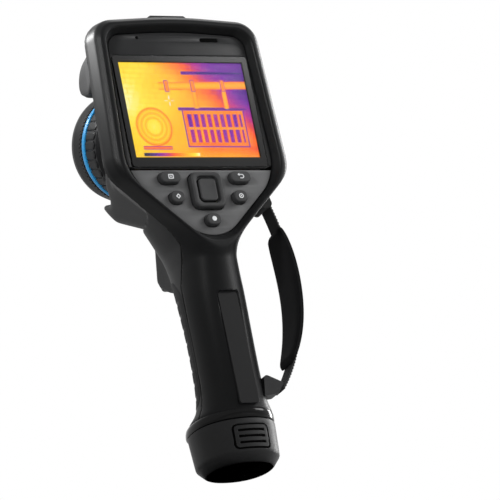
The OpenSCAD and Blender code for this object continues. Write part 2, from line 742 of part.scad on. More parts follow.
// Dished face of radius r across a lens of radius a, bulging by sag at height t
function dome(a, t, sag) = [for (i = [0:8]) let (x = a * (1 - i / 8)) [x, t + sag * (1 - pow(x / a, 2))]];
module front_lens() color("#1f9fb0") on_lens_axis() rotate_extrude()
  polygon(concat([[0, 69.2], [15.2, 69.2], [15.2, 72.6]], dome(14.6, 72.6, 4.4)));
module rear_lens() color("#4a5a60") on_lens_axis() rotate_extrude()
  polygon(concat([[0, 57], [15.32, 57], [15.32, 59]], dome(14.4, 59, 2.4)));
module detector_module() color("#6a6d70") on_lens_axis() difference() {
  union() {
    translate([-17, -16, 5]) cube([34, 32, 15]);
    cylinder(r = 13, h = 25.5);
    for (p = [[-14, -13], [-14, 13], [14, -13]]) translate([p.x, p.y, 19.9]) cylinder(r = 1.7, h = 10.08);
  }
  translate([0, 0, 22]) cylinder(r = 9, h = 6);
}
shutter_x = 18;
module shutter_blade() color("#3b3d40") on_lens_axis(26.2) difference() {
  union() {
    linear_extrude(0.6) hull() {
      circle(r = 9.6);
      translate([shutter_x, 0]) circle(r = 3);
    }
    translate([shutter_x, 0, 0.6]) cylinder(r = 2.6, h = 1.4);
  }
  translate([shutter_x, 0, -1]) cylinder(r = 1.05, h = 6);
}
module shutter_motor() color("#9a7b3c") on_lens_axis() {
  translate([shutter_x, 0, 20.02]) cylinder(r = 4, h = 5.8);
  translate([shutter_x, 0, 25.8]) cylinder(r = 1, h = 3.4);
}

// Two sprung buttons in the nose in front of the grip
module nose_button(z, h, proud) nose_frame(z) {
  translate([-button_half_w, -5, -h / 2]) cube([2 * button_half_w, 5 + proud - 0.8, h]);
  translate([0.7 - button_half_w, proud - 0.81, 0.7 - h / 2]) cube([2 * button_half_w - 1.4, 0.81, h - 1.4]);
  translate([0, -14, 0]) rotate([-90, 0, 0]) cylinder(r = 1.6, h = 10);
}
module trigger() color("#252628") nose_button(134.4, 15.6, 1.2);
module focus_button() color("#252628") nose_button(150, 12, 0.9);
module trigger_board() color("#1d5c37") translate([-8, 24, 128]) cube([16, 1.5, 26]);

// Battery that slides up into the handle, with a foot and two squeeze latches
collar_sections = [
  [collar_z, 24.9, 38.2, -14.2],
  [collar_z + 1.4, 25.1, 38.4, -14.7],
  [handle_z - 1.2, 24.7, 37.2, -15.3],
  [handle_z, 24.1, 35.4, -15.2]
];
module handle_collar() color("#0b0b0c") difference() {
  loft([for (s = collar_sections) section(collar_sections, s[0])]);
  translate([0, 0, -10]) battery_bay(0.4, 60);
}
module battery_case() color("#3a3c3f") translate([0, 0, cap_h]) battery_bay(0, bay.z);
latch_half_w = 11.6;
latch_z0 = 6.6;
latch_z1 = 21.4;
module latch_box(side, clear, y_in)
  translate([-latch_half_w - clear, side > 0 ? y_in : -60, latch_z0 - clear])
  cube([2 * latch_half_w + 2 * clear, side > 0 ? 60 : 60 + y_in, latch_z1 - latch_z0 + 2 * clear]);
module cap_skin(d = 0) loft([for (s = cap_sections) section(cap_sections, s[0], d)]);
front_in = 29.5;
rear_in = -8;
module battery_cap() color("#222325") difference() {
  cap_skin();
  latch_box(1, 0.35, front_in - 2.2);
  latch_box(-1, 0.35, rear_in + 2.2);
}
module latch_grooves(y) for (z = [10.4, 14, 17.6]) translate([-8.4, y - 0.7, z - 0.5]) cube([16.8, 3, 1]);
module latch_front() color("#2a2b2d") difference() {
  intersection() {
    cap_skin();
    latch_box(1, 0, front_in);
  }
  latch_grooves(34.2);
}
module latch_rear() color("#2a2b2d") difference() {
  intersection() {
    cap_skin();
    latch_box(-1, 0, rear_in);
  }
  latch_grooves(-15);
}
module contact_block() color("#b08d3f") {
  translate([0, bay_y, cap_h + bay.z + 1.2]) linear_extrude(5) rounded_rect(20, 12, 2);
  for (x = [-6, -2, 2, 6]) translate([x, bay_y, cap_h + bay.z + 0.4]) cylinder(r = 0.8, h = 1);
}

// Hand strap on the right side: a bar in two ears above, a lug below, a woven strip and a pad
bar = [44.4, 2, 160];
lug = [25, -8.6, 42];
bar_r = 1.5;
strap_path = [bar + [2.2, 0, -1.5], [55, -1, 122], [53, -6, 76], lug];
function bezier(p, s) =
  pow(1 - s, 3) * p[0] + 3 * s * pow(1 - s, 2) * p[1] + 3 * s * s * (1 - s) * p[2] + pow(s, 3) * p[3];
function strap_tangent(s) = unit(bezier(strap_path, s + 0.001) - bezier(strap_path, s - 0.001));

// One cross section of the strap: width across, from n0 to n1 along the outward normal
function strap_ring(s, w, n0, n1) =
  let (
    p = bezier(strap_path, s),
    t = strap_tangent(s),
    side = unit([0, 1, 0] - t * t.y),
    out = cross(t, side)
  ) [
    p + side * w / 2 + out * n0, p + side * w / 2 + out * n1,
    p - side * w / 2 + out * n1, p - side * w / 2 + out * n0
  ];
strap_steps = 16;
pad_s0 = 0.13;
pad_s1 = 0.86;
function pad_width(u) =
  webbing_w + 2 + (pad_w - webbing_w - 2) * pow(max(1 - pow(abs(2 * u - 1), 3.2), 0), 0.5);

module strap_ears() for (y = [bar.y - webbing_w / 2 - 2.2, bar.y + webbing_w / 2 + 0.4])
  translate([0, y + 1.8, 0]) rotate([90, 0, 0]) linear_extrude(1.8) hull() {
    translate([bar.x, bar.z]) circle(r = 3);
    translate([bar.x - 8.5, bar.z + 4.5]) circle(r = 3.4);
    translate([bar.x - 3, bar.z + 10.5]) circle(r = 3.4);
  }
module strap_lug() translate([0, lug.y + 4.6, 0]) rotate([90, 0, 0]) linear_extrude(9.2)
  polygon(rounded([[13, 37.6, 0], [22, 38.6, 1], [27.2, 45, 1], [15, 51, 2]]));
module strap_hardware() color("#3a3b3d") {
  strap_ears();
  translate([bar.x, bar.y - webbing_w / 2 - 1, bar.z]) rotate([-90, 0, 0])
    cylinder(r = bar_r, h = webbing_w + 2);
  difference() {
    strap_lug();
    handle_core();
  }
}
module strap_webbing() color("#202022") {
  loft([for (i = [0:strap_steps]) strap_ring(i / strap_steps, webbing_w, 0.05, 1.5)]);
  translate([bar.x, bar.y + webbing_w / 2, bar.z]) rotate([90, 0, 0])
    ring(bar_r + 0.1, bar_r + 1.4, 0, webbing_w);
}
module hand_strap() color("#1d1d1f") loft([
  for (i = [0:strap_steps])
    let (u = i / strap_steps)
      strap_ring(pad_s0 + (pad_s1 - pad_s0) * u, pad_width(u), -3.4, -0.05)
]);

rear_housing();
front_housing();
grip_overmould();
side_panel_left();
side_panel_right();
hood_window();
fascia();
keypad_panel();
display_glass();
lcd_panel();
display_gasket();
label_plaque();
key_archive();
key_program();
key_back();
key_mode();
key_power();
nav_gimbal();
nav_pad();
nav_center();
keypad_board();
main_board();
chassis_plate();
speaker();
port_cover();
port_hinge_pin();
port_board();
usb_socket();
hdmi_socket();
card_slot();
laser_module();
laser_lens();
lens_mount();
mount_screws();
lens_barrel();
focus_ring();
accent_ring();
front_ring();
front_plate();
lamp_bar();
lamps();
visible_camera();
retaining_ring();
front_lens();
rear_lens();
detector_module();
shutter_blade();
shutter_motor();
trigger();
focus_button();
trigger_board();
handle_collar();
battery_case();
battery_cap();
latch_front();
latch_rear();
contact_block();
strap_hardware();
strap_webbing();
hand_strap();
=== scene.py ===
import bpy
import numpy as np
from mathutils import Matrix
from mathutils.geometry import tessellate_polygon


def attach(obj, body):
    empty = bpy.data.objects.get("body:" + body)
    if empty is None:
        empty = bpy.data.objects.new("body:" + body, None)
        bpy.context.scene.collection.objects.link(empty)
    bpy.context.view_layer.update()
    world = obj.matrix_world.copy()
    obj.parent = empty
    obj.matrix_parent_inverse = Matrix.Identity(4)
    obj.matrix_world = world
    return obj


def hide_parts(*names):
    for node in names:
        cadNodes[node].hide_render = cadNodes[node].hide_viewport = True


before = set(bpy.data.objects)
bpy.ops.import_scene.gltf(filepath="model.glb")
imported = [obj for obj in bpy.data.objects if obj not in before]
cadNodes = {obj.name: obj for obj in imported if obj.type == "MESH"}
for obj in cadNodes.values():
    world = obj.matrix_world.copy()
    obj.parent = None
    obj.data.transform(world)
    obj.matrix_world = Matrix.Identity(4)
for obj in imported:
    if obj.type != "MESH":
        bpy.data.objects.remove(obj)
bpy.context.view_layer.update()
scene = bpy.context.scene
scene.view_settings.view_transform = "Standard"
mm = 0.001
print("frame loaded:", len(cadNodes), "nodes")

# camera: the photograph's viewing angle, from low on the user's left
shot = {
    "place": (-0.99839, -1.79946, -0.59695),
    "right": (0.884, -0.429, -0.189),
    "forward": (0.468, 0.819, 0.332),
    "lens": 271.44,
    "sensor": 36,
    "far": 50,
}


def unit(v):
    v = np.asarray(v, float)
    return v / np.linalg.norm(v)


def addCamera(c):
    ahead = unit(c["forward"])
    right = unit(np.asarray(c["right"]) - ahead * np.dot(c["right"], ahead))
    up = np.cross(right, ahead)
    data = bpy.data.cameras.new("photoCamera")
    data.lens = c["lens"]
    data.sensor_width = c["sensor"]
    data.clip_end = c["far"]
    cam = bpy.data.objects.new("photoCamera", data)
    turn = Matrix(np.stack([right, up, -ahead], 1).tolist()).to_4x4()
    cam.matrix_world = Matrix.Translation(c["place"]) @ turn
    scene.collection.objects.link(cam)
    scene.camera = cam


addCamera(shot)

# local frames as origin and u, v, w axes; w points out of the face, lengths in millimetres
tilt = np.radians(22)
axisZ = 201.0
lensC, lensS = np.cos(tilt), np.sin(tilt)
nose = {"lean": np.radians(14.5), "y": 48.6, "z": 132}


def midPlane(t, v):
    return np.array([t * lensC - v * lensS, axisZ + t * lensS + v * lensC])


hoodLow, hoodHigh = midPlane(70, 32.8), midPlane(65.2, 52)
hoodV = unit(hoodHigh - hoodLow)
hoodMid = (hoodLow + hoodHigh) / 2


def noseFrame(z):
    c, s = np.cos(nose["lean"]), np.sin(nose["lean"])
    y = nose["y"] - (z - nose["z"]) * s / c
    return [(0, y, z), (-1, 0, 0), (0, -s, c), (0, c, s)]


rearFace = [(0, 0, 0), (1, 0, 0), (0, 0, 1), (0, -1, 0)]
lensFace = [(0, 0, axisZ), (-1, 0, 0), (0, -lensS, lensC), (0, lensC, lensS)]
hoodFace = [(0, *hoodMid), (-1, 0, 0), (0, *hoodV), (0, hoodV[1], -hoodV[0])]


# point = origin + u, v and w along the three axes of the local frame
def place(face, u, v, w):
    o, a, b, c = (np.asarray(k, float) for k in face)
    u, v, w = np.broadcast_arrays(u, v, w)
    return o + u[..., None] * a + v[..., None] * b + w[..., None] * c


# each [x, y, radius] corner becomes the arc that touches its two sides
def roundCorners(corners, steps=10):
    pts = np.array([c[:2] for c in corners], float)
    out = []
    for i, (_, _, r) in enumerate(corners):
        b = pts[i]
        if r <= 0:
            out.append(b[None])
            continue
        u, w = unit(pts[i - 1] - b), unit(pts[(i + 1) % len(pts)] - b)
        half = np.arccos(np.clip(u @ w, -1, 1)) / 2
        mid = b + unit(u + w) * r / np.sin(half)
        s, e = b + u * r / np.tan(half) - mid, b + w * r / np.tan(half) - mid
        a0 = np.arctan2(s[1], s[0])
        da = (np.arctan2(e[1], e[0]) - a0 + np.pi) % (2 * np.pi) - np.pi
        a = a0 + da * np.linspace(0, 1, steps + 1)
        out.append(mid + r * np.stack([np.cos(a), np.sin(a)], 1))
    return np.concatenate(out)


def roundedRect(w, h, r, u=0, v=0, steps=8):
    return roundCorners([(u - w / 2, v - h / 2, r), (u + w / 2, v - h / 2, r),
                         (u + w / 2, v + h / 2, r), (u - w / 2, v + h / 2, r)], steps)


def turns(n):
    return np.linspace(0, 2 * np.pi, n, endpoint=False)


def circle(r, u=0, v=0, n=64):
    a = turns(n)
    return np.stack([u + r * np.cos(a), v + r * np.sin(a)], 1)


# the same outline with n points at even spacing along it
def evenOutline(poly, n):
    ring = np.concatenate([poly, poly[:1]])
    run = np.concatenate([[0], np.cumsum(np.linalg.norm(np.diff(ring, axis=0), axis=1))])
    at = np.linspace(0, run[-1], n, endpoint=False)
    return np.stack([np.interp(at, run, ring[:, 0]), np.interp(at, run, ring[:, 1])], 1)


# every point moves by d along the mean inward normal of its two sides, counter-clockwise
def insetOutline(poly, d):
    e1 = poly - np.roll(poly, 1, 0)
    e2 = np.roll(poly, -1, 0) - poly
    e1 = e1 / np.maximum(np.linalg.norm(e1, axis=1, keepdims=True), 1e-9)
    e2 = e2 / np.maximum(np.linalg.norm(e2, axis=1, keepdims=True), 1e-9)
    n1, n2 = np.stack([-e1[:, 1], e1[:, 0]], 1), np.stack([-e2[:, 1], e2[:, 0]], 1)
    return poly + d * (n1 + n2) / (1 + np.maximum((n1 * n2).sum(1, keepdims=True), -0.5))


# least distance to the sides, negative where a ray to the right meets an odd number of them
def outlineDistance(poly, px, py):
    best, inside = np.inf, np.zeros(np.broadcast(px, py).shape, bool)
    for a, b in zip(poly, np.roll(poly, -1, 0)):
        dx, dy = b - a
        if dx * dx + dy * dy < 1e-12:
            continue
        s = np.clip(((px - a[0]) * dx + (py - a[1]) * dy) / (dx * dx + dy * dy), 0, 1)
        best = np.minimum(best, (px - a[0] - s * dx) ** 2 + (py - a[1] - s * dy) ** 2)
        if dy:
            inside ^= ((a[1] > py) != (b[1] > py)) & (px < a[0] + (py - a[1]) * dx / dy)
    return np.where(inside, -1, 1) * np.sqrt(best)


# the greater of two distances, with the edge between them rounded over k
def softMax(a, b, k):
    return np.maximum(a, b) + np.maximum(k - np.abs(a - b), 0) ** 2 / (4 * k)


def softMin(a, b, k):
    return -softMax(-a, -b, k)


def smoothStep(x, low, high):
    t = np.clip((x - low) / (high - low), 0, 1)
    return t * t * (3 - 2 * t)


# gradient by central differences of a distance field
def slopeOf(field, p, h=0.08):
    g = np.empty_like(p)
    for k in range(3):
        d = np.zeros(3)
        d[k] = h
        a, b = p + d, p - d
        g[:, k] = (field(a[:, 0], a[:, 1], a[:, 2]) - field(b[:, 0], b[:, 1], b[:, 2])) / (2 * h)
    return g


# surface net: one point in each lattice cell that the zero level crosses, at the mean of its edge
# crossings, then drawn onto the level along the gradient; one quad round each crossed lattice edge
def surfaceNet(field, low, high, step):
    axes = [np.arange(a, b + step, step) for a, b in zip(low, high)]
    f = field(axes[0][:, None, None], axes[1][None, :, None], axes[2][None, None, :])
    f = np.broadcast_to(f, [len(a) for a in axes]).astype(np.float64)
    n = np.array(f.shape) - 1
    offs = [(i, j, k) for i in (0, 1) for j in (0, 1) for k in (0, 1)]

    def corner(o):
        return f[o[0]:o[0] + n[0], o[1]:o[1] + n[1], o[2]:o[2] + n[2]]

    count = sum((corner(o) < 0).astype(np.int8) for o in offs)
    active = (count > 0) & (count < 8)
    cells = np.argwhere(active)
    index = np.full(n, -1)
    index[active] = np.arange(len(cells))
    vals = {o: corner(o)[active] for o in offs}
    total, hits = np.zeros((len(cells), 3)), np.zeros((len(cells), 1))
    for o in offs:
        for k in range(3):
            if o[k]:
                continue
            e = tuple(1 if m == k else o[m] for m in range(3))
            cut = (vals[o] < 0) != (vals[e] < 0)
            s = np.where(cut, vals[o] / np.where(cut, vals[o] - vals[e], 1), 0)
            total += cut[:, None] * (np.array(o) + s[:, None] * (np.array(e) - np.array(o)))
            hits += cut[:, None]
    points = np.array(low) + step * (cells + total / hits)
    quads = []
    for k in range(3):
        a, b = [m for m in range(3) if m != k]
        lead = np.moveaxis(f, (k, a, b), (0, 1, 2))
        cell = np.moveaxis(index, (k, a, b), (0, 1, 2))
        flip = (lead[:-1, 1:-1, 1:-1] < 0) != (lead[1:, 1:-1, 1:-1] < 0)
        i, p, q = np.nonzero(flip)
        quad = np.stack([cell[i, p, q], cell[i, p + 1, q],
                         cell[i, p + 1, q + 1], cell[i, p, q + 1]], 1)
        back = lead[i, p + 1, q + 1] >= 0
        if k == 1:
            back = ~back
        quad[back] = quad[back][:, ::-1]
        quads.append(quad)
    for _ in range(3):
        d = field(points[:, 0], points[:, 1], points[:, 2])
        g = slopeOf(field, points)
        move = -g * (d / np.maximum((g * g).sum(1), 0.2))[:, None]
        size = np.linalg.norm(move, axis=1, keepdims=True)
        points = points + move * np.minimum(1, 0.6 * step / np.maximum(size, 1e-9))
    return points, np.concatenate(quads)


# quads between neighbouring rings of n points, each ring closed on itself or left open
def ringFaces(rings, n, closed=True):
    i = np.arange(n if closed else n - 1)
    j = np.arange(rings - 1)[:, None]
    a, b = j * n + i, j * n + (i + 1) % n
    return np.stack([a, b, b + n, a + n], -1).reshape(-1, 4)


# quads of a ring stack whose last ring also joins its first
def bandFaces(rings, n):
    i = np.arange(n)
    j, last = (i + 1) % n, (rings - 1) * n
    return np.concatenate([ringFaces(rings, n), np.stack([last + i, last + j, j, i], 1)])


# point numbers round the border of a grid
def gridBorder(rows, cols):
    ids = np.arange(rows * cols).reshape(rows, cols)
    return np.concatenate([ids[0, :-1], ids[:-1, -1], ids[-1, :0:-1], ids[:0:-1, 0]])


# rings on a flat outline: one at each [inset, height] of the profile, then copies of the last that
# shrink to the middle, as the two flat coordinates and the height of each ring
def flatRings(edge, profile, shrink=()):
    rings = [insetOutline(edge, d) for d, _ in profile]
    mid, top = edge.mean(0), rings[-1]
    rings = np.array(rings + [mid + (top - mid) * k for k in shrink])
    heights = [h for _, h in profile] + [profile[-1][1]] * len(shrink)
    return rings[..., 0], rings[..., 1], np.array(heights)[:, None]


# stack of closed rings, ended by a fan to the middle of its first and last ring
def ringStack(rings):
    m, n, _ = rings.shape
    pts = np.concatenate([rings.reshape(-1, 3), rings[0].mean(0)[None], rings[-1].mean(0)[None]])
    i = np.arange(n)
    low = np.stack([(i + 1) % n, i, np.full(n, m * n)], 1)
    high = np.stack([(m - 1) * n + i, (m - 1) * n + (i + 1) % n, np.full(n, m * n + 1)], 1)
    return pts, [ringFaces(m, n), low, high]


# block on an outline: rings at each [inset, w] of the edge profile, then rings that shrink to the
# middle of the top and rise by the crown
def softBlock(face, outline, profile, crown=0.0, rise=(0.8, 0.55, 0.3, 0.1)):
    rings = [place(face, *insetOutline(outline, d).T, w) for d, w in profile]
    top = insetOutline(outline, profile[-1][0])
    mid = top.mean(0)
    for s in rise:
        edge = mid + (top - mid) * s
        rings.append(place(face, edge[:, 0], edge[:, 1], profile[-1][1] + crown * (1 - s * s)))
    return ringStack(np.array(rings))


# flat plate with holes: its top and bottom are filled between the loops, and every loop has a
# bevelled edge and a straight wall
def platePiece(face, outer, holes, w0, w1, bevel):
    loops = [(outer, 1)] + [(h, -1) for h in holes]
    pts, faces, base = [], [], 0
    tops, lows = [], []
    for loop, sign in loops:
        rings = [place(face, *loop.T, w0), place(face, *loop.T, w1 - bevel),
                 place(face, *insetOutline(loop, sign * bevel * 0.35).T, w1 - bevel * 0.3),
                 place(face, *insetOutline(loop, sign * bevel).T, w1)]
        n = len(loop)
        quads = ringFaces(4, n) + base
        faces.append(quads if sign > 0 else quads[:, ::-1])
        lows.append((base, loop))
        tops.append((base + 3 * n, insetOutline(loop, sign * bevel)))
        pts.append(np.array(rings).reshape(-1, 3))
        base += 4 * n
    for group, up in ((tops, True), (lows, False)):
        flat = [[(x, y, 0) for x, y in l] for _, l in group]
        tris = np.array(tessellate_polygon(flat))
        ids = np.concatenate([b + np.arange(len(l)) for b, l in group])
        xy = np.concatenate([l for _, l in group])
        a, b, c = xy[tris[:, 0]], xy[tris[:, 1]], xy[tris[:, 2]]
        (bx, by), (cx, cy) = (b - a).T, (c - a).T
        wrong = (bx * cy - by * cx < 0) == up
        tris[wrong] = tris[wrong][:, ::-1]
        faces.append(ids[tris])
    return np.concatenate(pts), faces


# rows of [radius, t] at every turn a round the lens axis, closed both ways
def lathe(r, t, a):
    pts = place(lensFace, r * np.cos(a), r * np.sin(a), t + 0 * a)
    n, m = len(a), len(r)
    i, k = np.arange(n)[:, None], np.arange(m)
    j, h = (i + 1) % n, (k + 1) % m
    quad = np.stack([i * m + k, j * m + k, j * m + h, i * m + h], -1)
    return pts.reshape(-1, 3), [quad.reshape(-1, 4)]


# closed [radius, t] profile turned round the lens axis, counter-clockwise so that it faces out
def turned(profile, n=144):
    r, t = profile.T
    if (r * np.roll(t, -1) - np.roll(r, -1) * t).sum() < 0:
        r, t = r[::-1], t[::-1]
    return lathe(r, t, turns(n)[:, None])


def joinParts(parts):
    pts, faces, base = [], [], 0
    for p, fs in parts:
        pts.append(p)
        faces += [np.asarray(f) + base for f in fs]
        base += len(p)
    return np.concatenate(pts), faces


# new mesh piece in metres; edges sharper than the given angle stay crisp
def addPiece(name, shape, finish, nodes=(), body="housing", crisp=40):
    pts, groups = shape
    mesh = bpy.data.meshes.new(name)
    faces = [f for group in groups for f in np.asarray(group).tolist()]
    mesh.from_pydata((pts * mm).tolist(), [], faces)
    mesh.polygons.foreach_set("use_smooth", np.ones(len(mesh.polygons), bool))
    mesh.set_sharp_from_angle(angle=np.radians(crisp))
    mesh.materials.append(finishes[finish])
    mesh.update()
    piece = bpy.data.objects.new(name, mesh)
    scene.collection.objects.link(piece)
    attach(piece, body)
    if nodes:
        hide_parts(*nodes)
    return piece


# finishes: grain and mottling on object coordinates
def nodeSet(name):
    mat = bpy.data.materials.new(name)
    mat.use_nodes = True
    tree = mat.node_tree
    shader = tree.nodes["Principled BSDF"]
    coords = tree.nodes.new("ShaderNodeTexCoord")
    return mat, tree, shader, coords.outputs["Object"]


def setInputs(node, values):
    for key, value in values.items():
        node.inputs[key].default_value = value


def addNoise(tree, vector, scale, detail):
    node = tree.nodes.new("ShaderNodeTexNoise")
    setInputs(node, {"Scale": scale, "Detail": detail, "Roughness": 0.6})
    tree.links.new(vector, node.inputs["Vector"])
    return node.outputs["Fac"]


def addMath(tree, op, a, b=None):
    node = tree.nodes.new("ShaderNodeMath")
    node.operation = op
    for k, v in enumerate((a, b)):
        if v is None:
            continue
        if isinstance(v, (int, float)):
            node.inputs[k].default_value = v
        else:
            tree.links.new(v, node.inputs[k])
    return node.outputs[0]


def addRange(tree, value, a, b, c, d, kind="LINEAR"):
    node = tree.nodes.new("ShaderNodeMapRange")
    node.interpolation_type = kind
    for k, v in enumerate((a, b, c, d)):
        node.inputs[k + 1].default_value = v
    tree.links.new(value, node.inputs[0])
    return node.outputs[0]


def addMix(tree, fac, a, b):
    node = tree.nodes.new("ShaderNodeMix")
    node.data_type = "RGBA"
    tree.links.new(fac, node.inputs["Factor"])
    for key, v in (("A", a), ("B", b)):
        socket = [s for s in node.inputs if s.name == key and s.type == "RGBA"][0]
        if isinstance(v, tuple):
            socket.default_value = (*v, 1)
        else:
            tree.links.new(v, socket)
    return [s for s in node.outputs if s.type == "RGBA"][0]


# the line where the two shells meet, along which the shell finishes paint a near-black band of
# shadow: y steps back as z climbs past the grip, in metres
seam = {"z": (0.112, 0.134), "y": (0.003, -0.0065), "half": (0.0008, 0.0011)}


def seamShadowLine(tree, where, colour):
    xyz = tree.nodes.new("ShaderNodeSeparateXYZ")
    tree.links.new(where, xyz.inputs[0])
    line = addRange(tree, xyz.outputs["Z"], *seam["z"], *seam["y"])
    gap = addMath(tree, "ABSOLUTE", addMath(tree, "SUBTRACT", xyz.outputs["Y"], line))
    # painted shadow: near-black where the point lies within the half widths of the seam line, fading
    # out between them
    return addMix(tree, addRange(tree, gap, *seam["half"], 1, 0), colour, (0.001, 0.001, 0.001))


# moulded finish: slow mottling in colour, fine grain in roughness and bump, and where asked a painted
# seam shadow
def moulded(name, base, rough, grain=0.12, size=2600, spread=0.2, spec=0.3, paintSeamShadow=False, metal=0.0):
    mat, tree, shader, where = nodeSet(name)
    slow = addNoise(tree, where, 90, 2)
    fine = addNoise(tree, where, size, 2)
    dark, light = (tuple(c * k for c in base) for k in (1 - spread, 1 + spread))
    colour = addMix(tree, slow, dark, light)
    if paintSeamShadow:
        colour = seamShadowLine(tree, where, colour)
    tree.links.new(colour, shader.inputs["Base Color"])
    roughness = addRange(tree, fine, 0.3, 0.7, rough - 0.06, rough + 0.06)
    tree.links.new(roughness, shader.inputs["Roughness"])
    bump = tree.nodes.new("ShaderNodeBump")
    setInputs(bump, {"Strength": grain, "Distance": 0.0001})
    tree.links.new(fine, bump.inputs["Height"])
    tree.links.new(bump.outputs[0], shader.inputs["Normal"])
    setInputs(shader, {"Specular IOR Level": spec, "Metallic": metal})
    return mat


moulds = {
    "rearShell": dict(base=(0.0048, 0.005, 0.0053), rough=0.4, spec=0.085, paintSeamShadow=True),
    "frontShell": dict(base=(0.0185, 0.0187, 0.0192), rough=0.5, spec=0.1, paintSeamShadow=True),
    "gripRubber": dict(base=(0.021, 0.0212, 0.0217), rough=0.66, grain=0.25, size=1500, spec=0.08),
    "sidePanel": dict(base=(0.006, 0.0061, 0.0064), rough=0.36, grain=0.06, spec=0.12),
    "labelPlate": dict(base=(0.0042, 0.0043, 0.0046), rough=0.44, grain=0.06, spec=0.1),
    "browPanel": dict(base=(0.014, 0.0142, 0.0147), rough=0.36, grain=0.05, spec=0.1),
    "deckPanel": dict(base=(0.09, 0.0906, 0.092), rough=0.46, grain=0.1, spread=0.1, spec=0.15),
    "keyRubber": dict(base=(0.03, 0.0303, 0.031), rough=0.5, grain=0.12, size=2000, spec=0.12),
    "iconInk": dict(base=(0.55, 0.56, 0.57), rough=0.5, grain=0.05, spread=0.08),
    "gloss": dict(base=(0.0015, 0.0015, 0.0016), rough=0.12, grain=0.01, spec=0.14),
    "paneBorder": dict(base=(0.0015, 0.0015, 0.0017), rough=0.2, grain=0.01, spec=0.16),
    "windowGloss": dict(base=(0.003, 0.0031, 0.0036), rough=0.08, grain=0.01, spec=0.3),
    # painted shade: near-black finish laid in grooves, holes and recesses where shade falls
    "grooveShade": dict(base=(0.001, 0.001, 0.001), rough=0.7, grain=0.05, spec=0.02),
    "lensBlack": dict(base=(0.007, 0.0072, 0.0076), rough=0.42, grain=0.06, spec=0.08),
    "facePlate": dict(base=(0.004, 0.004, 0.0043), rough=0.55, grain=0.2, size=1800, spec=0.08),
    "accent": dict(base=(0.02, 0.21, 0.45), rough=0.34, grain=0.02, spread=0.08, spec=0.2),
    "steel": dict(base=(0.52, 0.53, 0.55), rough=0.32, grain=0.06, spread=0.08, metal=1.0),
    "alu": dict(base=(0.36, 0.37, 0.39), rough=0.42, grain=0.1, spread=0.1, metal=1.0),
    "brass": dict(base=(0.52, 0.36, 0.12), rough=0.3, grain=0.05, spread=0.1, metal=1.0),
    "boardGreen": dict(base=(0.012, 0.1, 0.04), rough=0.45, grain=0.15, size=700, spread=0.35),
    "batteryGrey": dict(base=(0.022, 0.0225, 0.024), rough=0.5, spec=0.15),
    "capBlack": dict(base=(0.015, 0.0152, 0.0156), rough=0.46, spec=0.1),
    "webbing": dict(base=(0.02, 0.02, 0.0205), rough=0.72, grain=0.4, size=1900, spec=0.08),
    "strapPad": dict(base=(0.008, 0.008, 0.0085), rough=0.8, grain=0.5, size=1300, spec=0.06),
}
finishes = {name: moulded(name, **row) for name, row in moulds.items()}
optics = {
    "optic": ((0.01, 0.14, 0.17), (0.025, 0.27, 0.31)),
    "lamp": ((0.06, 0.06, 0.058), (0.11, 0.11, 0.105)),
    "darkOptic": ((0.01, 0.012, 0.018), (0.03, 0.034, 0.045)),
    "paleOptic": ((0.1, 0.11, 0.14), (0.2, 0.21, 0.25)),
}


# coated glass: a slow swirl between two tints under a clear coat
def coatedOptic(name, inner, outer):
    mat, tree, shader, where = nodeSet(name)
    swirl = addNoise(tree, where, 160, 1)
    tree.links.new(addMix(tree, swirl, inner, outer), shader.inputs["Base Color"])
    tree.links.new(addRange(tree, swirl, 0, 1, 0.03, 0.09), shader.inputs["Roughness"])
    setInputs(shader, {"Metallic": 0.75, "Coat Weight": 1.0, "Coat Roughness": 0.03})
    return mat


for name, tints in optics.items():
    finishes[name] = coatedOptic(name, *tints)
print("finishes:", len(finishes))

# handle: superellipse sections between [z, half width, front, rear] rows, smoothed along z
handle = {
    "rows": np.array([
        (31, 24.3, 35.5, -15.4), (34, 21.5, 30.2, -16), (38, 19.8, 26.4, -16.6),
        (44, 18.7, 25.1, -17), (54, 18.1, 24.2, -17.2), (66, 17.9, 23.8, -17.5),
        (80, 17.9, 23.9, -17.8), (92, 18.1, 24.8, -18.1), (104, 18.2, 26.4, -18.5),
        (114, 17.9, 28.6, -19), (124, 17.8, 31, -19.8), (134, 19.4, 33, -20.6),
        (148, 26, 35, -21), (156, 30, 36, -21)]),
    "power": 2.15,
    "foot": 29.4,
}


# each column is averaged along z with bell-shaped weights of the given spread
def smoothRows(rows, spread, step=0.25, reach=48):
    z = np.arange(rows[0, 0] - reach * step, rows[-1, 0] + reach * step, step)
    w = np.exp(-0.5 * (np.arange(-reach, reach + 1) * step / spread) ** 2)
    cols = [np.interp(z, rows[:, 0], rows[:, k]) for k in (1, 2, 3)]
    cols = [np.convolve(c, w / w.sum(), "same")[reach:-reach] for c in cols]
    return z[reach:-reach], cols


handleZ, handleCols = smoothRows(handle["rows"], 1.6)


def handleAt(z):
    return [np.interp(z, handleZ, c) for c in handleCols]


def handleDistance(x, y, z):
    a, f, r = handleAt(z)
    mid, deep = (f + r) / 2, (f - r) / 2
    p = handle["power"]
    q = (np.abs(x / a) ** p + np.abs((y - mid) / deep) ** p) ** (1 / p)
    return (1 - 1 / np.maximum(q, 0.25)) * np.sqrt(x * x + (y - mid) ** 2 + 1e-9)


def partLine(z):
    return 3 - 9.5 * np.clip((z - 112) / 22, 0, 1)


# head: outlines seen from the rear, the side and above, each carried through the head
def mirrored(bottom, side, corner, top):
    back = [(-x, z, r) for x, z, r in (corner, side)]
    return roundCorners([bottom, side, corner, top, *back], 16)


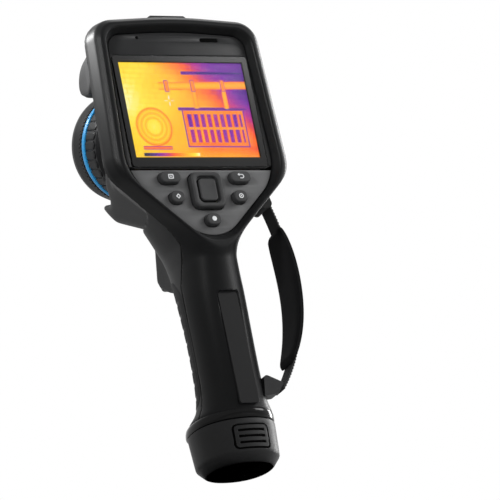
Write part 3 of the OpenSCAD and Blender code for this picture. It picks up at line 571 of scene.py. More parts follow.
shieldLine = mirrored((0, 120, 20), (58.6, 176.3, 20), (54.8, 272.3, 15), (0, 276.2, 300))
crestOut = mirrored((0, 120.8, 20), (53.3, 172, 20), (49.8, 267.4, 10), (0, 271, 295))
crestIn = mirrored((0, 123, 21), (51.2, 172.2, 28), (47.5, 265.2, 11), (0, 268.6, 292))
recessLine = mirrored((0, 126.5, 23.5), (48.2, 172.8, 34), (44.6, 262.4, 9), (0, 265.6, 289))
hoodLine = mirrored((0, 120, 20), (58.6, 176.3, 20), (51.5, 272.6, 27), (0, 276.2, 300))
sideLine = roundCorners([
    (-40, 290, 0), (-40, 120, 0), (22, 132, 0), (37, 160, 8), (*midPlane(51.5, -46.8), 5),
    (*midPlane(61.5, -39), 1.5), (*midPlane(61.5, -35.3), 0), (*midPlane(38, -35.3), 12),
    (*midPlane(38, 28.6), 9), (*midPlane(65.5, 28.6), 0), (*midPlane(70, 32.8), 2),
    (*midPlane(65.2, 52), 12), (27, 277.2, 20), (-40, 277.2, 0)], 10)
planHalf = [(57.6, -40, 0), (57.2, -4, 6), (49.5, 5, 20), (41.5, 25, 30), (35.8, 47, 20),
            (31.8, 58, 10), (24, 73, 4)]
bayHalf = [(57.6, -40, 0), (57.2, -4, 6), (49.2, 5, 20), (39.4, 24, 16), (33.8, 34.5, 6),
           (33.8, 95, 0)]
planLine, bayLine = (roundCorners(half + [(-x, y, r) for x, y, r in half[::-1]], 10)
                     for half in (planHalf, bayHalf))
bayBand = np.array([midPlane(-60, -35.3), midPlane(95, -35.3), midPlane(95, 28.6),
                    midPlane(46, 28.6), (-60, 245)])
noseLine = roundCorners([(20, 160, 0), (20, 116.5, 0), (30, 117.5, 4), (37, 121, 4), (45.6, 126.5, 3),
                         (48.6, 132, 4), (43.4, 152, 10), (38.5, 160.5, 0), (37, 164, 0)])
housing = {
    "wall": 2.4, "footWall": 4, "tubeWall": 2.8, "step": 1.25, "rimStep": 0.8,
    "archR": 36.8, "floorT": 38, "lensHole": 25.4, "noseHalf": 9.4,
    "shoulder": 12, "lip": 5, "neck": 8,
    "coverCut": ((-13.7, -12, 274.6), (13.8, 36.3, 300)),
    "bayCut": ((-7.5, 0.4, 250), (8.5, 31.4, 300)),
    "coverRear": ((-13.7, -10.7, 274.6), (13.8, 0, 300)),
    "plateCut": ((-6.7, -40, 31.5), (6.7, -16.2, 100.5)),
}
laserSlot = {"u": 11, "v": 0.3, "half": 8.3, "r": 4.4, "deep": 12}


# underside: two planes on each side, which twist from the V of the rim to the narrow chin
def keelDistance(x, y, z):
    u, v = np.abs(x) / 75, (y + 7) / 82
    low = np.minimum(120 + v * 30.5 + u * 112.5, 120 + u * 73 + v * 70)
    return (low - z) / 1.75


def headDistance(x, y, z):
    d = outlineDistance(hoodLine, x, z) + 0.3
    d = softMax(outlineDistance(planLine, x, y), d, housing["shoulder"])
    d = softMax(d, keelDistance(x, y, z), 9)
    beside = softMin(outlineDistance(bayLine, x, y), -outlineDistance(bayBand, y, z), 2)
    return softMax(softMax(d, beside, 1.6), outlineDistance(sideLine, y, z), housing["lip"])


# place along the lens axis and distance from it
def lensCoords(x, y, z):
    t = y * lensC + (z - axisZ) * lensS
    v = -y * lensS + (z - axisZ) * lensC
    return t, np.sqrt(x * x + v * v)


def boxDistance(x, y, z, low, high):
    d = [np.maximum(l - k, k - h) for k, l, h in zip((x, y, z), low, high)]
    return np.maximum(np.maximum(d[0], d[1]), d[2])


# outer skin of the front shell without its cut-outs
def frontSkin(x, y, z):
    tube = np.maximum(handleDistance(x, y, z), z - 154)
    d = softMin(headDistance(x, y, z), tube, housing["neck"])
    snout = softMax(outlineDistance(noseLine, y, z), np.abs(x) - housing["noseHalf"], 3)
    return softMin(d, snout, 3)


def frontField(x, y, z):
    skin = frontSkin(x, y, z)
    t, r = lensCoords(x, y, z)
    arch = np.maximum(r - housing["archR"], housing["floorT"] - t)
    skin = softMax(skin, -arch, 2.2)
    # the wall thickens in the flare of the foot, where it leans most
    wall = housing["wall"] + housing["footWall"] * (1 - smoothStep(z, 32, 38))
    d = np.maximum(skin, -(skin + wall))
    d = np.maximum(d, -np.maximum(r - housing["lensHole"], np.abs(t - 36) - 5))
    for cut in ("coverCut", "bayCut"):
        d = np.maximum(d, -boxDistance(x, y, z, *housing[cut]))
    hv = (y - hoodMid[0]) * hoodV[0] + (z - hoodMid[1]) * hoodV[1]
    hw = (y - hoodMid[0]) * hoodV[1] - (z - hoodMid[1]) * hoodV[0]
    s = laserSlot
    along = np.maximum(np.abs(-x - s["u"]) - s["half"], 0)
    slot = np.maximum(np.sqrt(along ** 2 + (hv - s["v"]) ** 2) - s["r"], -s["deep"] - hw)
    d = np.maximum(d, -slot)
    return softMax(np.maximum(d, partLine(z) - y), handle["foot"] - z, 1)


rim = {"wallY": -10, "bendY": -17.4, "crestY": -20.9, "deckY": -15.5, "ledgeY": -12.5, "backY": -21,
       "edge": 1.1, "lip": 0.7}


# opening in the rim: its outline shrinks from the crest's inner edge to the panels
def rimOpening(x, y, z):
    s = np.clip((y - rim["crestY"]) / (rim["deckY"] - rim["crestY"]), 0, 1)
    return outlineDistance(crestIn, x, z) * (1 - s) + outlineDistance(recessLine, x, z) * s


# rim: the wall on the shield outline leans in, bends to the crest, and is hollow behind the ledge
def rimDistance(x, y, z):
    wall = outlineDistance(shieldLine, x, z)
    lean = 0.3 * np.clip((rim["wallY"] - y) / (rim["wallY"] - rim["bendY"]), 0, 1)
    q = rim["bendY"] - y
    s = np.clip(lean + 0.35 * (q + np.sqrt(q * q + 0.5)) / (rim["bendY"] - rim["crestY"]), 0, 1)
    skin = wall * (1 - s) + outlineDistance(crestOut, x, z) * s
    d = softMax(skin, rim["crestY"] - y, rim["edge"])
    d = softMax(d, -rimOpening(x, y, z), rim["lip"])
    return np.maximum(d, -np.maximum(wall + housing["wall"], rim["ledgeY"] - y))


def rearField(x, y, z):
    tube = handleDistance(x, y, z)
    tube = np.maximum(np.maximum(tube, -(tube + housing["tubeWall"])), z - 146)
    d = softMin(rimDistance(x, y, z), tube, housing["neck"])
    d = softMax(np.maximum(d, y - partLine(z)), handle["foot"] - z, 1)
    d = softMax(softMax(d, rim["backY"] - y, 1), -rimOpening(x, y, z), rim["lip"])
    for cut in ("coverRear", "plateCut"):
        d = np.maximum(d, -boxDistance(x, y, z, *housing[cut]))
    return d


def shellPiece(name, node, finish, field, low, high, step):
    pts, quads = surfaceNet(field, low, high, step)
    addPiece(name, (pts, [quads]), finish, [node], crisp=50)
    print(name + ":", len(quads), "quads")


shellPiece("frontHousing", "front_housing", "frontShell", frontField,
           (-60, -8, 27.5), (60, 74, 279), housing["step"])
shellPiece("rearHousing", "rear_housing", "rearShell", rearField,
           (-60, -23, 27.6), (60, 4.5, 278), housing["rimStep"])

# grip: patch on the handle inside its window, with finger ribs pressed in across the front
grip = {"low": 40, "high": 122, "rear": 4.6, "front": 40, "proud": 0.25, "deep": 1.2, "ribStart": 48,
        "pitch": 8.4, "ribs": 8, "ribDepth": 0.8, "across": 72, "rows": 132}
gripEdge = roundCorners([(4.6, 40, 6), (40, 40, 0), (40, 122, 0), (26, 122, 4), (13, 118, 10),
                         (4.6, 108, 10)], 12)


def signedPower(c, p):
    return np.sign(c) * np.abs(c) ** p


# rear edge of the window at each height, then the superellipse angle where the handle meets it
def gripPatch():
    g = grip
    z = np.linspace(g["low"] + 0.05, g["high"] - 0.05, g["rows"])
    ys = np.linspace(g["rear"], g["front"], 900)
    inside = outlineDistance(gripEdge, ys[:, None], z[None, :]) < 0
    edge = ys[inside.argmax(0)]
    a, f, r = handleAt(z)
    mid, deep = (f + r) / 2, (f - r) / 2
    p = 2 / handle["power"]
    start = np.arcsin(signedPower(np.clip((edge - mid) / deep, -0.98, 0.98), 1 / p))[:, None]
    s = np.linspace(0, 1, g["across"])
    th = start + (np.pi - 2 * start) * s
    phase = (z[:, None] - g["ribStart"] + 3.0 * (1 - np.sin(np.pi * s) ** 0.8)) / g["pitch"]
    near = np.abs(phase - np.round(phase))
    live = smoothStep(phase, -0.4, -0.2) * (1 - smoothStep(phase, g["ribs"] - 0.8, g["ribs"] - 0.6))
    front = smoothStep(np.sin(np.pi * s), 0.18, 0.42)
    dip = g["ribDepth"] * live * front * (1 - smoothStep(near, 0.05, 0.17))
    sideDrop = np.minimum(np.minimum(s, 1 - s) * 60, 1)
    endDrop = np.minimum(np.minimum(z - g["low"], g["high"] - z) / 0.9, 1)[:, None]
    lift = g["proud"] * np.sqrt(np.clip(sideDrop * endDrop, 0, 1)) - dip

    def skin(rise):
        return np.stack([(a[:, None] + rise) * signedPower(np.cos(th), p),
                         mid[:, None] + (deep[:, None] + rise) * signedPower(np.sin(th), p),
                         z[:, None] + 0 * s], -1).reshape(-1, 3)

    rows, cols = z.size, s.size
    top = ringFaces(rows, cols, closed=False)
    border = gridBorder(rows, cols)
    ahead = np.roll(border, -1)
    wall = np.stack([ahead, border, border + rows * cols, ahead + rows * cols], 1)
    pts = np.concatenate([skin(lift), skin(-g["deep"])])
    addPiece("gripOvermould", (pts, [top, top[:, ::-1] + rows * cols, wall]), "gripRubber",
             ["grip_overmould"])


gripPatch()
print("grip: ribbed patch")

# panels on the rear face, with w counted out towards the user
glass = {"w": 88.6, "h": 71.3, "z": 213.85, "pictureW": 81.3, "pictureH": 61.0, "pictureZ": 215.0}
panel = {"split": 177.4, "low": 13.5, "top": 15.5}


# the recess outline above (side 1) or below (side -1) a height, from its first point at the cut
def recessPart(n, inset, side, cut):
    edge = insetOutline(evenOutline(recessLine, n), inset)
    edge = edge[side * edge[:, 1] > side * cut]
    start = np.argmin(np.where(side * edge[:, 0] > 0, side * edge[:, 1], np.inf))
    return np.roll(edge, -start, 0)


def browPanel():
    edge = recessPart(240, 0.1, 1, panel["split"] + 0.3)
    holes = [roundedRect(glass["w"] + 0.3, glass["h"] + 0.3, 2.2, 0, glass["z"]),
             circle(1.0, -25, 261, 20), roundedRect(12, 2.4, 1.1, 22, 260)]
    plate = platePiece(rearFace, edge, holes, panel["low"], panel["top"], 0.3)
    addPiece("browPanel", plate, "browPanel", ["fascia"])
    # near-black liners inside the mic hole and speaker slot: painted shade in the holes
    holeShades = [platePiece(rearFace, insetOutline(h, -0.3), [], 13.6, 15.05, 0.02) for h in holes[1:]]
    addPiece("browHoleShades", joinParts(holeShades), "grooveShade")


# node, x, z, width, height and corner radius of each key
keyRows = {
    "keyArchive": ("key_archive", -22.8, 171, 13, 6.8, 3),
    "keyProgram": ("key_program", -20.4, 158.7, 8.6, 7.2, 3.2),
    "keyBack": ("key_back", 22.8, 171, 13, 6.8, 3),
    "keyMode": ("key_mode", 20.4, 158.7, 8.6, 7.2, 3.2),
    "keyPower": ("key_power", 0, 144.6, 9.2, 7, 3.2),
}
navPad = {"z": 163, "w": 20, "h": 22, "centerW": 11, "centerH": 13.8}


def deckPanel():
    edge = recessPart(300, 0.35, -1, panel["split"])
    holes = [roundedRect(w + 0.5, h + 0.5, r + 0.25, x, z) for _, x, z, w, h, r in keyRows.values()]
    holes.append(roundedRect(navPad["w"] + 1, navPad["h"] + 1, 4.5, 0, navPad["z"]))
    plate = platePiece(rearFace, edge, holes, panel["low"], panel["top"], 0.35)
    addPiece("deckPanel", plate, "deckPanel", ["keypad_panel"])


# key caps: soft block with a rounded shoulder and a slight crown
def keyCaps():
    prof = [(0, 12.6), (0, 18.75), (0.12, 19.1), (0.38, 19.36), (0.7, 19.45), (0.78, 19.45)]
    for name, (node, x, z, w, h, r) in keyRows.items():
        edge = evenOutline(roundedRect(w, h, r, x, z), 72)
        addPiece(name, softBlock(rearFace, edge, prof, 0.05), "keyRubber", [node], node)


# four-way pad: a ring that dips to its middle key
def navPieces():
    w, h, z, n = navPad["centerW"], navPad["centerH"], navPad["z"], 120
    edge = evenOutline(roundedRect(navPad["w"], navPad["h"], 4, 0, z), n)
    hole = evenOutline(roundedRect(w + 1.2, h + 1.2, 3, 0, z), n)
    wide = evenOutline(roundedRect(w + 3.4, h + 3.4, 3.6, 0, z), n)
    prof = [(edge, 0, 12.2), (edge, 0, 18.5), (edge, 0.2, 19.0), (edge, 0.55, 19.36),
            (edge, 1.1, 19.5), (edge, 1.2, 19.5), (wide, -0.1, 19.5), (wide, 0, 19.45),
            (wide, 0.2, 18.9), (wide, 0.35, 17.6), (hole, 0, 17.4), (hole, 0, 12.2)]
    rings = np.array([place(rearFace, *insetOutline(o, d).T, k) for o, d, k in prof])
    addPiece("navRing", (rings.reshape(-1, 3), [bandFaces(len(prof), n)]), "keyRubber",
             ["nav_pad"], "nav_pad")
    mid = evenOutline(roundedRect(w, h, 2.4, 0, z), 96)
    prof = [(0, 11.8), (0, 18.6), (0.15, 18.95), (0.45, 19.16), (0.8, 19.2), (0.9, 19.2)]
    addPiece("navCenter", softBlock(rearFace, mid, prof, -0.15), "keyRubber",
             ["nav_center"], "nav_center")


# flat pictograms a hair above the key tops
def keyIcons():
    top = 19.56

    def mark(key, parts):
        plates = [platePiece(rearFace, o, holes, top - 0.3, top, 0.03) for o, holes in parts]
        addPiece("icon" + key[3:], joinParts(plates), "iconInk", body=keyRows[key][0])

    x, z = keyRows["keyArchive"][1:3]
    frameMark = (roundedRect(3.4, 2.9, 0.5, x, z), [roundedRect(2.2, 1.7, 0.25, x, z)])
    mark("keyArchive", [frameMark, (circle(0.5, x, z, 16), [])])
    x, z = keyRows["keyBack"][1:3]
    a = np.linspace(-0.5 * np.pi, 0.5 * np.pi, 14)
    far, near = (np.stack([x + 0.6 + r * np.cos(a), z + r * np.sin(a)], 1) for r in (1.35, 0.85))
    bend = np.concatenate([far, [(x - 1.0, z + 1.35), (x - 1.0, z + 0.85), (x + 0.6, z + 0.85)],
                           near[::-1][1:-1],
                           [(x + 0.6, z - 0.85), (x - 0.8, z - 0.85), (x - 0.8, z - 1.35)]])
    tip = np.array([(x - 2.2, z + 1.1), (x - 0.9, z + 0.1), (x - 0.9, z + 2.1)])
    mark("keyBack", [(bend, []), (tip, [])])
    x, z = keyRows["keyProgram"][1:3]
    diamond = np.array([(x, z - 1.6), (x + 1.6, z), (x, z + 1.6), (x - 1.6, z)])
    mark("keyProgram", [(diamond, [diamond * 0.5 + np.array([x, z]) * 0.5])])
    x, z = keyRows["keyMode"][1:3]
    mark("keyMode", [(circle(1.5, x, z, 32), [circle(0.95, x, z, 32)]), (circle(0.45, x, z, 16), [])])
    mark("keyPower", [(circle(1.45, *keyRows["keyPower"][1:3], 36), [])])


browPanel()
deckPanel()
keyCaps()
navPieces()
keyIcons()
print("rear panels and keys")

# display: clear pane, black border plates behind it and on it, and the picture as coloured points
picture = {"cols": 321, "rows": 241, "w": 14.3, "deep": 2.6}


def clearPane(name):
    mat, tree, shader, where = nodeSet(name)
    smear = addNoise(tree, where, 40, 1)
    tree.links.new(addRange(tree, smear, 0.3, 0.7, 0.18, 0.2), shader.inputs["Roughness"])
    setInputs(shader, {"Base Color": (1, 1, 1, 1), "Transmission Weight": 1.0, "IOR": 1.13})
    return mat


def pictureGlow(name):
    mat, tree, shader, _ = nodeSet(name)
    colour = tree.nodes.new("ShaderNodeVertexColor")
    colour.layer_name = "warmth"
    tree.links.new(colour.outputs["Color"], shader.inputs["Emission Color"])
    setInputs(shader, {"Base Color": (0.01, 0.01, 0.012, 1), "Emission Strength": 1.0,
                       "Roughness": 0.4, "Specular IOR Level": 0.1})
    return mat


finishes["paneGlass"] = clearPane("paneGlass")
finishes["pictureGlow"] = pictureGlow("pictureGlow")


# warmth of a made-up room: a soft glow falls off to a cool corner, then a finned heater, a flanged
# pipe with two drops, a cable tray and a round drum are laid over it, each with its edge lines
def heatMap(u, v):
    grain = 0.012 * np.sin(61 * u + 37 * v) * np.sin(43 * u - 71 * v)
    grain = grain + 0.015 * np.sin(17 * u - 9 * v + 1)
    glow = 0.08 * np.exp(-((u - 0.05) ** 2 + (v - 0.55) ** 2) / 0.05)
    warm = 0.87 - 0.2 * u + 0.05 * v + grain + glow
    warm = warm - 0.5 * smoothStep(0.75 * u + 0.6 * v, 0.72, 1.18)
    warm = warm - 0.1 * np.exp(-((v - 0.1) / 0.05) ** 2) * smoothStep(u, 0.3, 0.6)
    row, brick = np.floor(v / 0.052), 0.085
    upright = np.abs((u / brick + 0.5 * (row % 2)) % 1 - 0.5) > 0.475
    joint = (np.abs(v / 0.052 % 1 - 0.5) > 0.46) | upright
    warm = warm - 0.07 * joint * smoothStep(v, 0.5, 0.62)
    gravel = np.sin(151 * u + 40 * np.sin(23 * v)) * np.sin(139 * v + 37 * np.sin(29 * u))
    warm = warm - 0.16 * (gravel > 0.55) * (1 - smoothStep(v + 0.25 * u, 0.1, 0.22))

    def inBox(u0, u1, v0, v1):
        return (u > u0) & (u < u1) & (v > v0) & (v < v1)

    def edged(value, u0, u1, v0, v1, fill, line, w):
        value = np.where(inBox(u0 - w, u1 + w, v0 - w * 1.33, v1 + w * 1.33), line, value)
        return np.where(inBox(u0, u1, v0, v1), fill, value)

    fins = np.abs((u - 0.47) / 0.052 % 1 - 0.5) * 2
    warm = edged(warm, 0.45, 0.93, 0.13, 0.5, 0.62 + 0.1 * (v - 0.13) + grain, 0.3, 0.008)
    fin = inBox(0.47, 0.91, 0.17, 0.46)
    cell = 0.05 * np.sin(7 * np.floor((u - 0.47) / 0.052) + 5 * (v > 0.315))
    fins = 0.32 + cell + 0.34 * smoothStep(fins, 0.35, 0.85) + 0.25 * (0.32 - v) + grain
    warm = np.where(fin, fins, warm)
    warm = np.where(fin & (np.abs(v - 0.315) < 0.012), 0.7, warm)
    warm = edged(warm, 0.42, 0.96, 0.505, 0.525, 0.2, 0.34, 0.004)
    drop = np.maximum(1 - (np.abs(np.abs(u - 0.69) - 0.12) / 0.019) ** 2, 0)
    drop = drop * (v > 0.52) * (v < 0.72)
    warm = np.where(drop > 0, 0.5 + 0.26 * np.sqrt(drop), warm)
    pipe = np.maximum(1 - ((v - 0.745 - 0.02 * u) / 0.042) ** 2, 0)
    warm = np.where((pipe > 0) & (u > 0.3), 0.52 + 0.3 * np.sqrt(pipe) - 0.12 * (u - 0.3), warm)
    for k in (0.36, 0.57, 0.81):
        low, high = 0.69 + 0.02 * k, 0.8 + 0.02 * k
        warm = edged(warm, k - 0.012, k + 0.012, low, high, 0.66, 0.4, 0.005)
    warm = edged(warm, 0.5, 0.985, 0.88, 0.9, 0.13 + 0.1 * (u < 0.62), 0.22, 0.006)
    drum = np.sqrt(((u - 0.2) / 0.135) ** 2 + ((v - 0.33) / 0.19) ** 2)
    hoops = 0.5 + 0.5 * np.cos(drum * 26)
    warm = np.where(drum < 1, 0.84 + 0.1 * (1 - drum) - 0.1 * hoops * (drum > 0.35), warm)
    warm = warm - 0.22 * np.exp(-((drum - 1.02) / 0.035) ** 2)
    return edged(warm, 0.09, 0.31, 0.1, 0.125, 0.6, 0.42, 0.005)


# warmth through the ramp, a scale bar and a crosshair, then display values made linear
def pictureColours(u, v):
    stops = [0, 0.14, 0.28, 0.42, 0.55, 0.68, 0.82, 0.92, 1]
    ramp = np.array([(8, 2, 36), (52, 6, 120), (124, 10, 160), (196, 36, 128), (250, 96, 30),
                     (255, 146, 4), (255, 196, 14), (255, 228, 60), (255, 248, 190)]) / 255
    warm = np.clip(heatMap(u, v), 0, 1)
    bar = (np.abs(v - 0.045) < 0.016) & (np.abs(u - 0.3) < 0.22)
    warm = np.where(bar, (u - 0.08) / 0.44, warm)
    rgb = np.stack([np.interp(warm, stops, ramp[:, k]) for k in range(3)], -1)
    cu, cv = np.abs(u - 0.36), np.abs(v - 0.6)
    cross = ((cu < 0.003) | (cv < 0.004)) & (cu < 0.04) & (cv < 0.053)
    cross &= (cu > 0.012) | (cv > 0.016)
    rgb[cross] = 0.95
    return np.where(rgb <= 0.04045, rgb / 12.92, ((rgb + 0.055) / 1.055) ** 2.4)


def displayPieces():
    g = glass
    edge = evenOutline(roundedRect(g["w"], g["h"], 2, 0, g["z"]), 160)
    prof = [(0, 14.6), (0, 15.75), (0.2, 16.0), (0.24, 16.0)]
    pane = softBlock(rearFace, edge, prof, 0, (0.99, 0.6, 0.2))
    addPiece("displayGlass", pane, "paneGlass", ["display_glass"])
    hole = roundedRect(g["pictureW"], g["pictureH"], 0.4, 0, g["pictureZ"])
    edge = roundedRect(g["w"] - 0.8, g["h"] - 0.8, 1.8, 0, g["z"])
    masks = [platePiece(rearFace, edge, [hole], low, top, 0.03)
             for low, top in ((13.4, 14.55), (16.0, 16.1))]
    addPiece("displayBorder", joinParts(masks), "paneBorder", ["display_gasket"], crisp=20)
    cols, rows = picture["cols"], picture["rows"]
    count = rows * cols
    u, v = np.meshgrid(np.linspace(0, 1, cols), np.linspace(0, 1, rows))
    w, h = g["pictureW"] + 0.6, g["pictureH"] + 0.6
    pts = place(rearFace, (u - 0.5) * w, g["pictureZ"] + (v - 0.5) * h, picture["w"]).reshape(-1, 3)
    border = gridBorder(rows, cols)
    back = pts[border] + np.array([0, picture["deep"], 0])
    k = count + np.arange(len(border))
    ahead = np.roll(k, -1)
    wall = np.stack([np.roll(border, -1), border, k, ahead], 1)
    fan = np.stack([ahead, k, np.full(len(border), count + len(border))], 1)
    allPts = np.concatenate([pts, back, back.mean(0)[None]])
    shape = (allPts, [ringFaces(rows, cols, closed=False), wall, fan])
    piece = addPiece("displayPicture", shape, "pictureGlow", ["lcd_panel"])
    colours = np.full((len(allPts), 4), 0.02, np.float32)
    colours[:count, :3] = pictureColours(u, v).reshape(-1, 3)
    layer = piece.data.color_attributes.new("warmth", "FLOAT_COLOR", "POINT")
    layer.data.foreach_set("color", colours.ravel())


displayPieces()
print("display")

# lens: rings turned round the tilted axis
lens = {"teeth": 36, "ringR": 33.2, "toothR": 33.75, "focusT0": 46.5, "focusT1": 62.6, "bore": 27.55,
        "accentR": 34.6, "accentT": 3.6, "frontT0": 67.2, "frontBore": 27.52, "lensFront": 84.0,
        "seatT": 77.05, "plateT": 81.2, "discR": 28.6, "knurls": 84, "knurlR": 34,
        "lampU": 10.4, "lampV": -22.2, "lampT": 78.02}


# flat rings drawn as [along the ring, t, radius], wrapped on a cylinder and repeated at even turns
def wrappedRow(s, t, r, count, radius):
    parts = []
    for k in range(count):
        a = 2 * np.pi * k / count + s / radius
        parts.append(ringStack(place(lensFace, r * np.cos(a), r * np.sin(a), t)))
    return joinParts(parts)


def toothRow():
    half = np.pi * lens["ringR"] / lens["teeth"] - 0.42
    t0, t1 = lens["focusT0"] + 3.2, lens["focusT1"] - 0.5
    edge = evenOutline(roundCorners([(-half, t0 + 1.6, 0.4), (0, t0, 0.3), (half, t0 + 1.6, 0.4),
                                     (half, t1, 0.4), (-half, t1, 0.4)], 3), 40)
    prof = [(0, 32.3), (0, 33.35), (0.16, 33.65), (0.45, lens["toothR"])]
    rings = flatRings(edge, prof, (0.6, 0.2))
    return wrappedRow(*rings, lens["teeth"], lens["ringR"])


def knurlRow():
    edge = evenOutline(roundedRect(1.5, 2.6, 0.3, 0, lens["frontT0"] + 1.8, 2), 12)
    rings = flatRings(edge, [(0, 33.3), (0, 34.0), (0.2, 34.2)])
    return wrappedRow(*rings, lens["knurls"], lens["knurlR"])


# ring with four key notches: its front lip drops where the angle is near a quarter turn
def notchedRing():
    prof = roundCorners([(12.7, 76.2, 0), (17.1, 76.2, 0), (17.1, 79.1, 0.2), (15.6, 79.5, 0.5),
                         (13.3, 77.9, 0.3), (12.7, 77.6, 0.2)], 3)
    r, t = prof.T
    a = turns(288)[:, None]
    near = np.abs((a + np.pi / 4) % (np.pi / 2) - np.pi / 4) * 15.5
    return lathe(r, np.where((near < 0.75) & (t > 77), np.minimum(t, 77.5), t), a)


# domed disc: rings whose height falls with the square of the radius
def domedDisc(u, v, radius, t0, t1, sag, n, rows):
    scale = np.concatenate([[1], np.linspace(1, 0.06, rows)])[:, None]
    t = t1 + sag * (1 - scale * scale)
    t[0] = t0
    a = turns(n)
    r = radius * scale
    return ringStack(place(lensFace, u + r * np.cos(a), v + r * np.sin(a), t))


def lensPieces():
    p = lens
    bore, t0, t1 = p["bore"], p["focusT0"], p["focusT1"]
    base = roundCorners([(bore, t0, 0), (31.6, t0, 0.5), (p["ringR"], t0 + 2.4, 0.8),
                         (p["ringR"], t1, 0.3), (bore, t1, 0)], 5)
    addPiece("focusRing", joinParts([turned(base), toothRow()]), "lensBlack",
             ["focus_ring"], "focus")
    t0, r = t1 + 0.02, p["accentR"]
    t1 = t0 + p["accentT"]
    band = roundCorners([(bore, t0, 0), (r - 0.5, t0, 0.5), (r, (t0 + t1) / 2, 2.5),
                         (r - 0.5, t1, 0.5), (bore, t1, 0)], 6)
    addPiece("accentRing", turned(band), "accent", ["accent_ring"], "focus")
    bore, f, e = p["frontBore"], p["frontT0"], p["lensFront"]
    barrel = roundCorners([(bore, f - 0.4, 0), (33.2, f - 0.4, 0.3), (33.5, f + 0.4, 0.1),
                           (33.5, f + 3.2, 0.1), (33.75, f + 3.7, 0.2), (33.75, e - 5.4, 2.5),
                           (32.9, e - 1.2, 1.2), (31.6, e, 0.8), (30.2, e, 0.5), (28.9, e - 2.2, 0.4),
                           (28.8, 77, 0), (bore, 77, 0)], 5)
    addPiece("frontBarrel", joinParts([turned(barrel, 180), knurlRow()]), "lensBlack",
             ["front_ring"])
    disc = circle(p["discR"], n=160)
    disc[:, 1] = np.minimum(disc[:, 1], 24.4)
    bar = roundCorners([(-16.2, -22.6, 0.4), (-11.6, -26.0, 0.8), (11.6, -26.0, 0.8),
                        (16.2, -22.6, 0.4), (12.2, -18.5, 1.6), (-12.2, -18.5, 1.6)], 5)
    bar = evenOutline(bar, 90)
    holes = [circle(18.6, 0, 0, 96), insetOutline(bar, -0.15)]
    plate = platePiece(lensFace, disc, holes, p["seatT"], p["plateT"], 0.25)
    well = roundCorners([(17.2, 77.0, 0), (18.65, 77.0, 0), (18.65, 80.9, 0.2), (18.2, 80.9, 0.3),
                         (17.2, 78.6, 0.4)], 5)
    addPiece("frontPlate", joinParts([plate, turned(well, 96)]), "facePlate",
             ["front_plate"])
    u, v, t = p["lampU"], p["lampV"], p["lampT"]
    wells = [circle(2.7, -u, v, 40), circle(2.7, u, v, 40), circle(3.1, 0, v, 48)]
    addPiece("lampBar", platePiece(lensFace, bar, wells, p["seatT"], 81.0, 0.2), "gloss",
             ["lamp_bar"])
    lamps = [domedDisc(side * u, v, 2.6, t, 78.9, 1.2, 40, 8) for side in (-1, 1)]
    addPiece("lamps", joinParts(lamps), "lamp", ["lamps"])
    addPiece("visibleCamera", domedDisc(0, v, 3.0, t, 79.0, 0.9, 48, 8), "paleOptic",
             ["visible_camera"])
    addPiece("retainingRing", notchedRing(), "lensBlack", ["retaining_ring"])
    addPiece("frontLens", domedDisc(0, 0, 14.6, 69.2, 72.6, 4.4, 96, 20), "optic",
             ["front_lens"])


lensPieces()
print("lens")

# side panels and the hood window, each with a thin strip of painted groove shade round it
sidePanel = {"edge": [(-3.4, 179, 5), (20, 189, 8), (24.5, 243, 5), (-3.4, 240, 4)], "points": 160,
             "proud": 0.14, "grooveShade": 0.5}


# x of the front shell's skin at each [y, z], by halving the interval that holds it
def skinX(y, z):
    low, high = np.full(y.shape, 15.0), np.full(y.shape, 62.0)
    for _ in range(34):
        mid = (low + high) / 2
        out = frontSkin(mid, y, z) > 0
        high, low = np.where(out, mid, high), np.where(out, low, mid)
    return (low + high) / 2


def sidePanels():
    n, proud, gap = sidePanel["points"], sidePanel["proud"], sidePanel["grooveShade"]
    edge = evenOutline(roundCorners(sidePanel["edge"], 8), n)
    prof = [(gap, -1.2), (gap, -0.1), (gap + 0.12, proud * 0.7), (gap + 0.45, proud)]
    y, z, lift = flatRings(edge, prof, np.linspace(0.92, 0.06, 14))
    x = skinX(y, z) + lift
    # band: a near-black strip a hair proud of the skin round each panel, painted shade of the groove
    band = [(-0.25, -1.0), (-0.25, 0.03), (0.6, 0.03), (0.6, -1.0)]
    bandY, bandZ, bandLift = flatRings(edge, band)
    bandX = skinX(bandY, bandZ) + bandLift
    for side, name, node in ((1, "sidePanelRight", "side_panel_right"),
                             (-1, "sidePanelLeft", "side_panel_left")):
        pts, faces = ringStack(np.stack([side * x, y, z], -1))
        addPiece(name, (pts, [f[:, ::side] for f in faces]), "sidePanel", [node])
        strip = np.stack([side * bandX, bandY, bandZ], -1).reshape(-1, 3)
        addPiece(name + "GrooveShade", (strip, [bandFaces(len(band), n)[:, ::side]]), "grooveShade")


def hoodWindow():
    u, v = laserSlot["u"], laserSlot["v"]
    edge = evenOutline(roundCorners([(-26, -6.5, 3), (-15, -6.6, 14), (0, -4.4, 40), (15, -6.6, 14),
                                     (26, -6.5, 3), (26, 6.9, 6), (-26, 6.9, 6)], 10), 200)
    plate = platePiece(hoodFace, edge, [roundedRect(25, 8.4, 4.1, u, v)], -1.6, 0.12, 0.25)
    addPiece("hoodWindow", plate, "windowGloss", ["hood_window"])
    # a near-black liner behind the laser slot: painted shade in the slot
    outer, inner = roundedRect(25.2, 8.6, 4.2, u, v), roundedRect(23.8, 7.2, 3.5, u, v)
    addPiece("windowWellShade", platePiece(hoodFace, outer, [inner], -6, -1.5, 0.3), "grooveShade")
    # a near-black strip round the window: painted shade of its groove
    outer, inner = insetOutline(edge, -0.55), insetOutline(edge, 0.3)
    grooveShade = platePiece(hoodFace, outer, [inner], -1.2, 0.04, 0.02)
    addPiece("windowGrooveShade", grooveShade, "grooveShade")


sidePanels()
hoodWindow()
print("side panels and hood window")

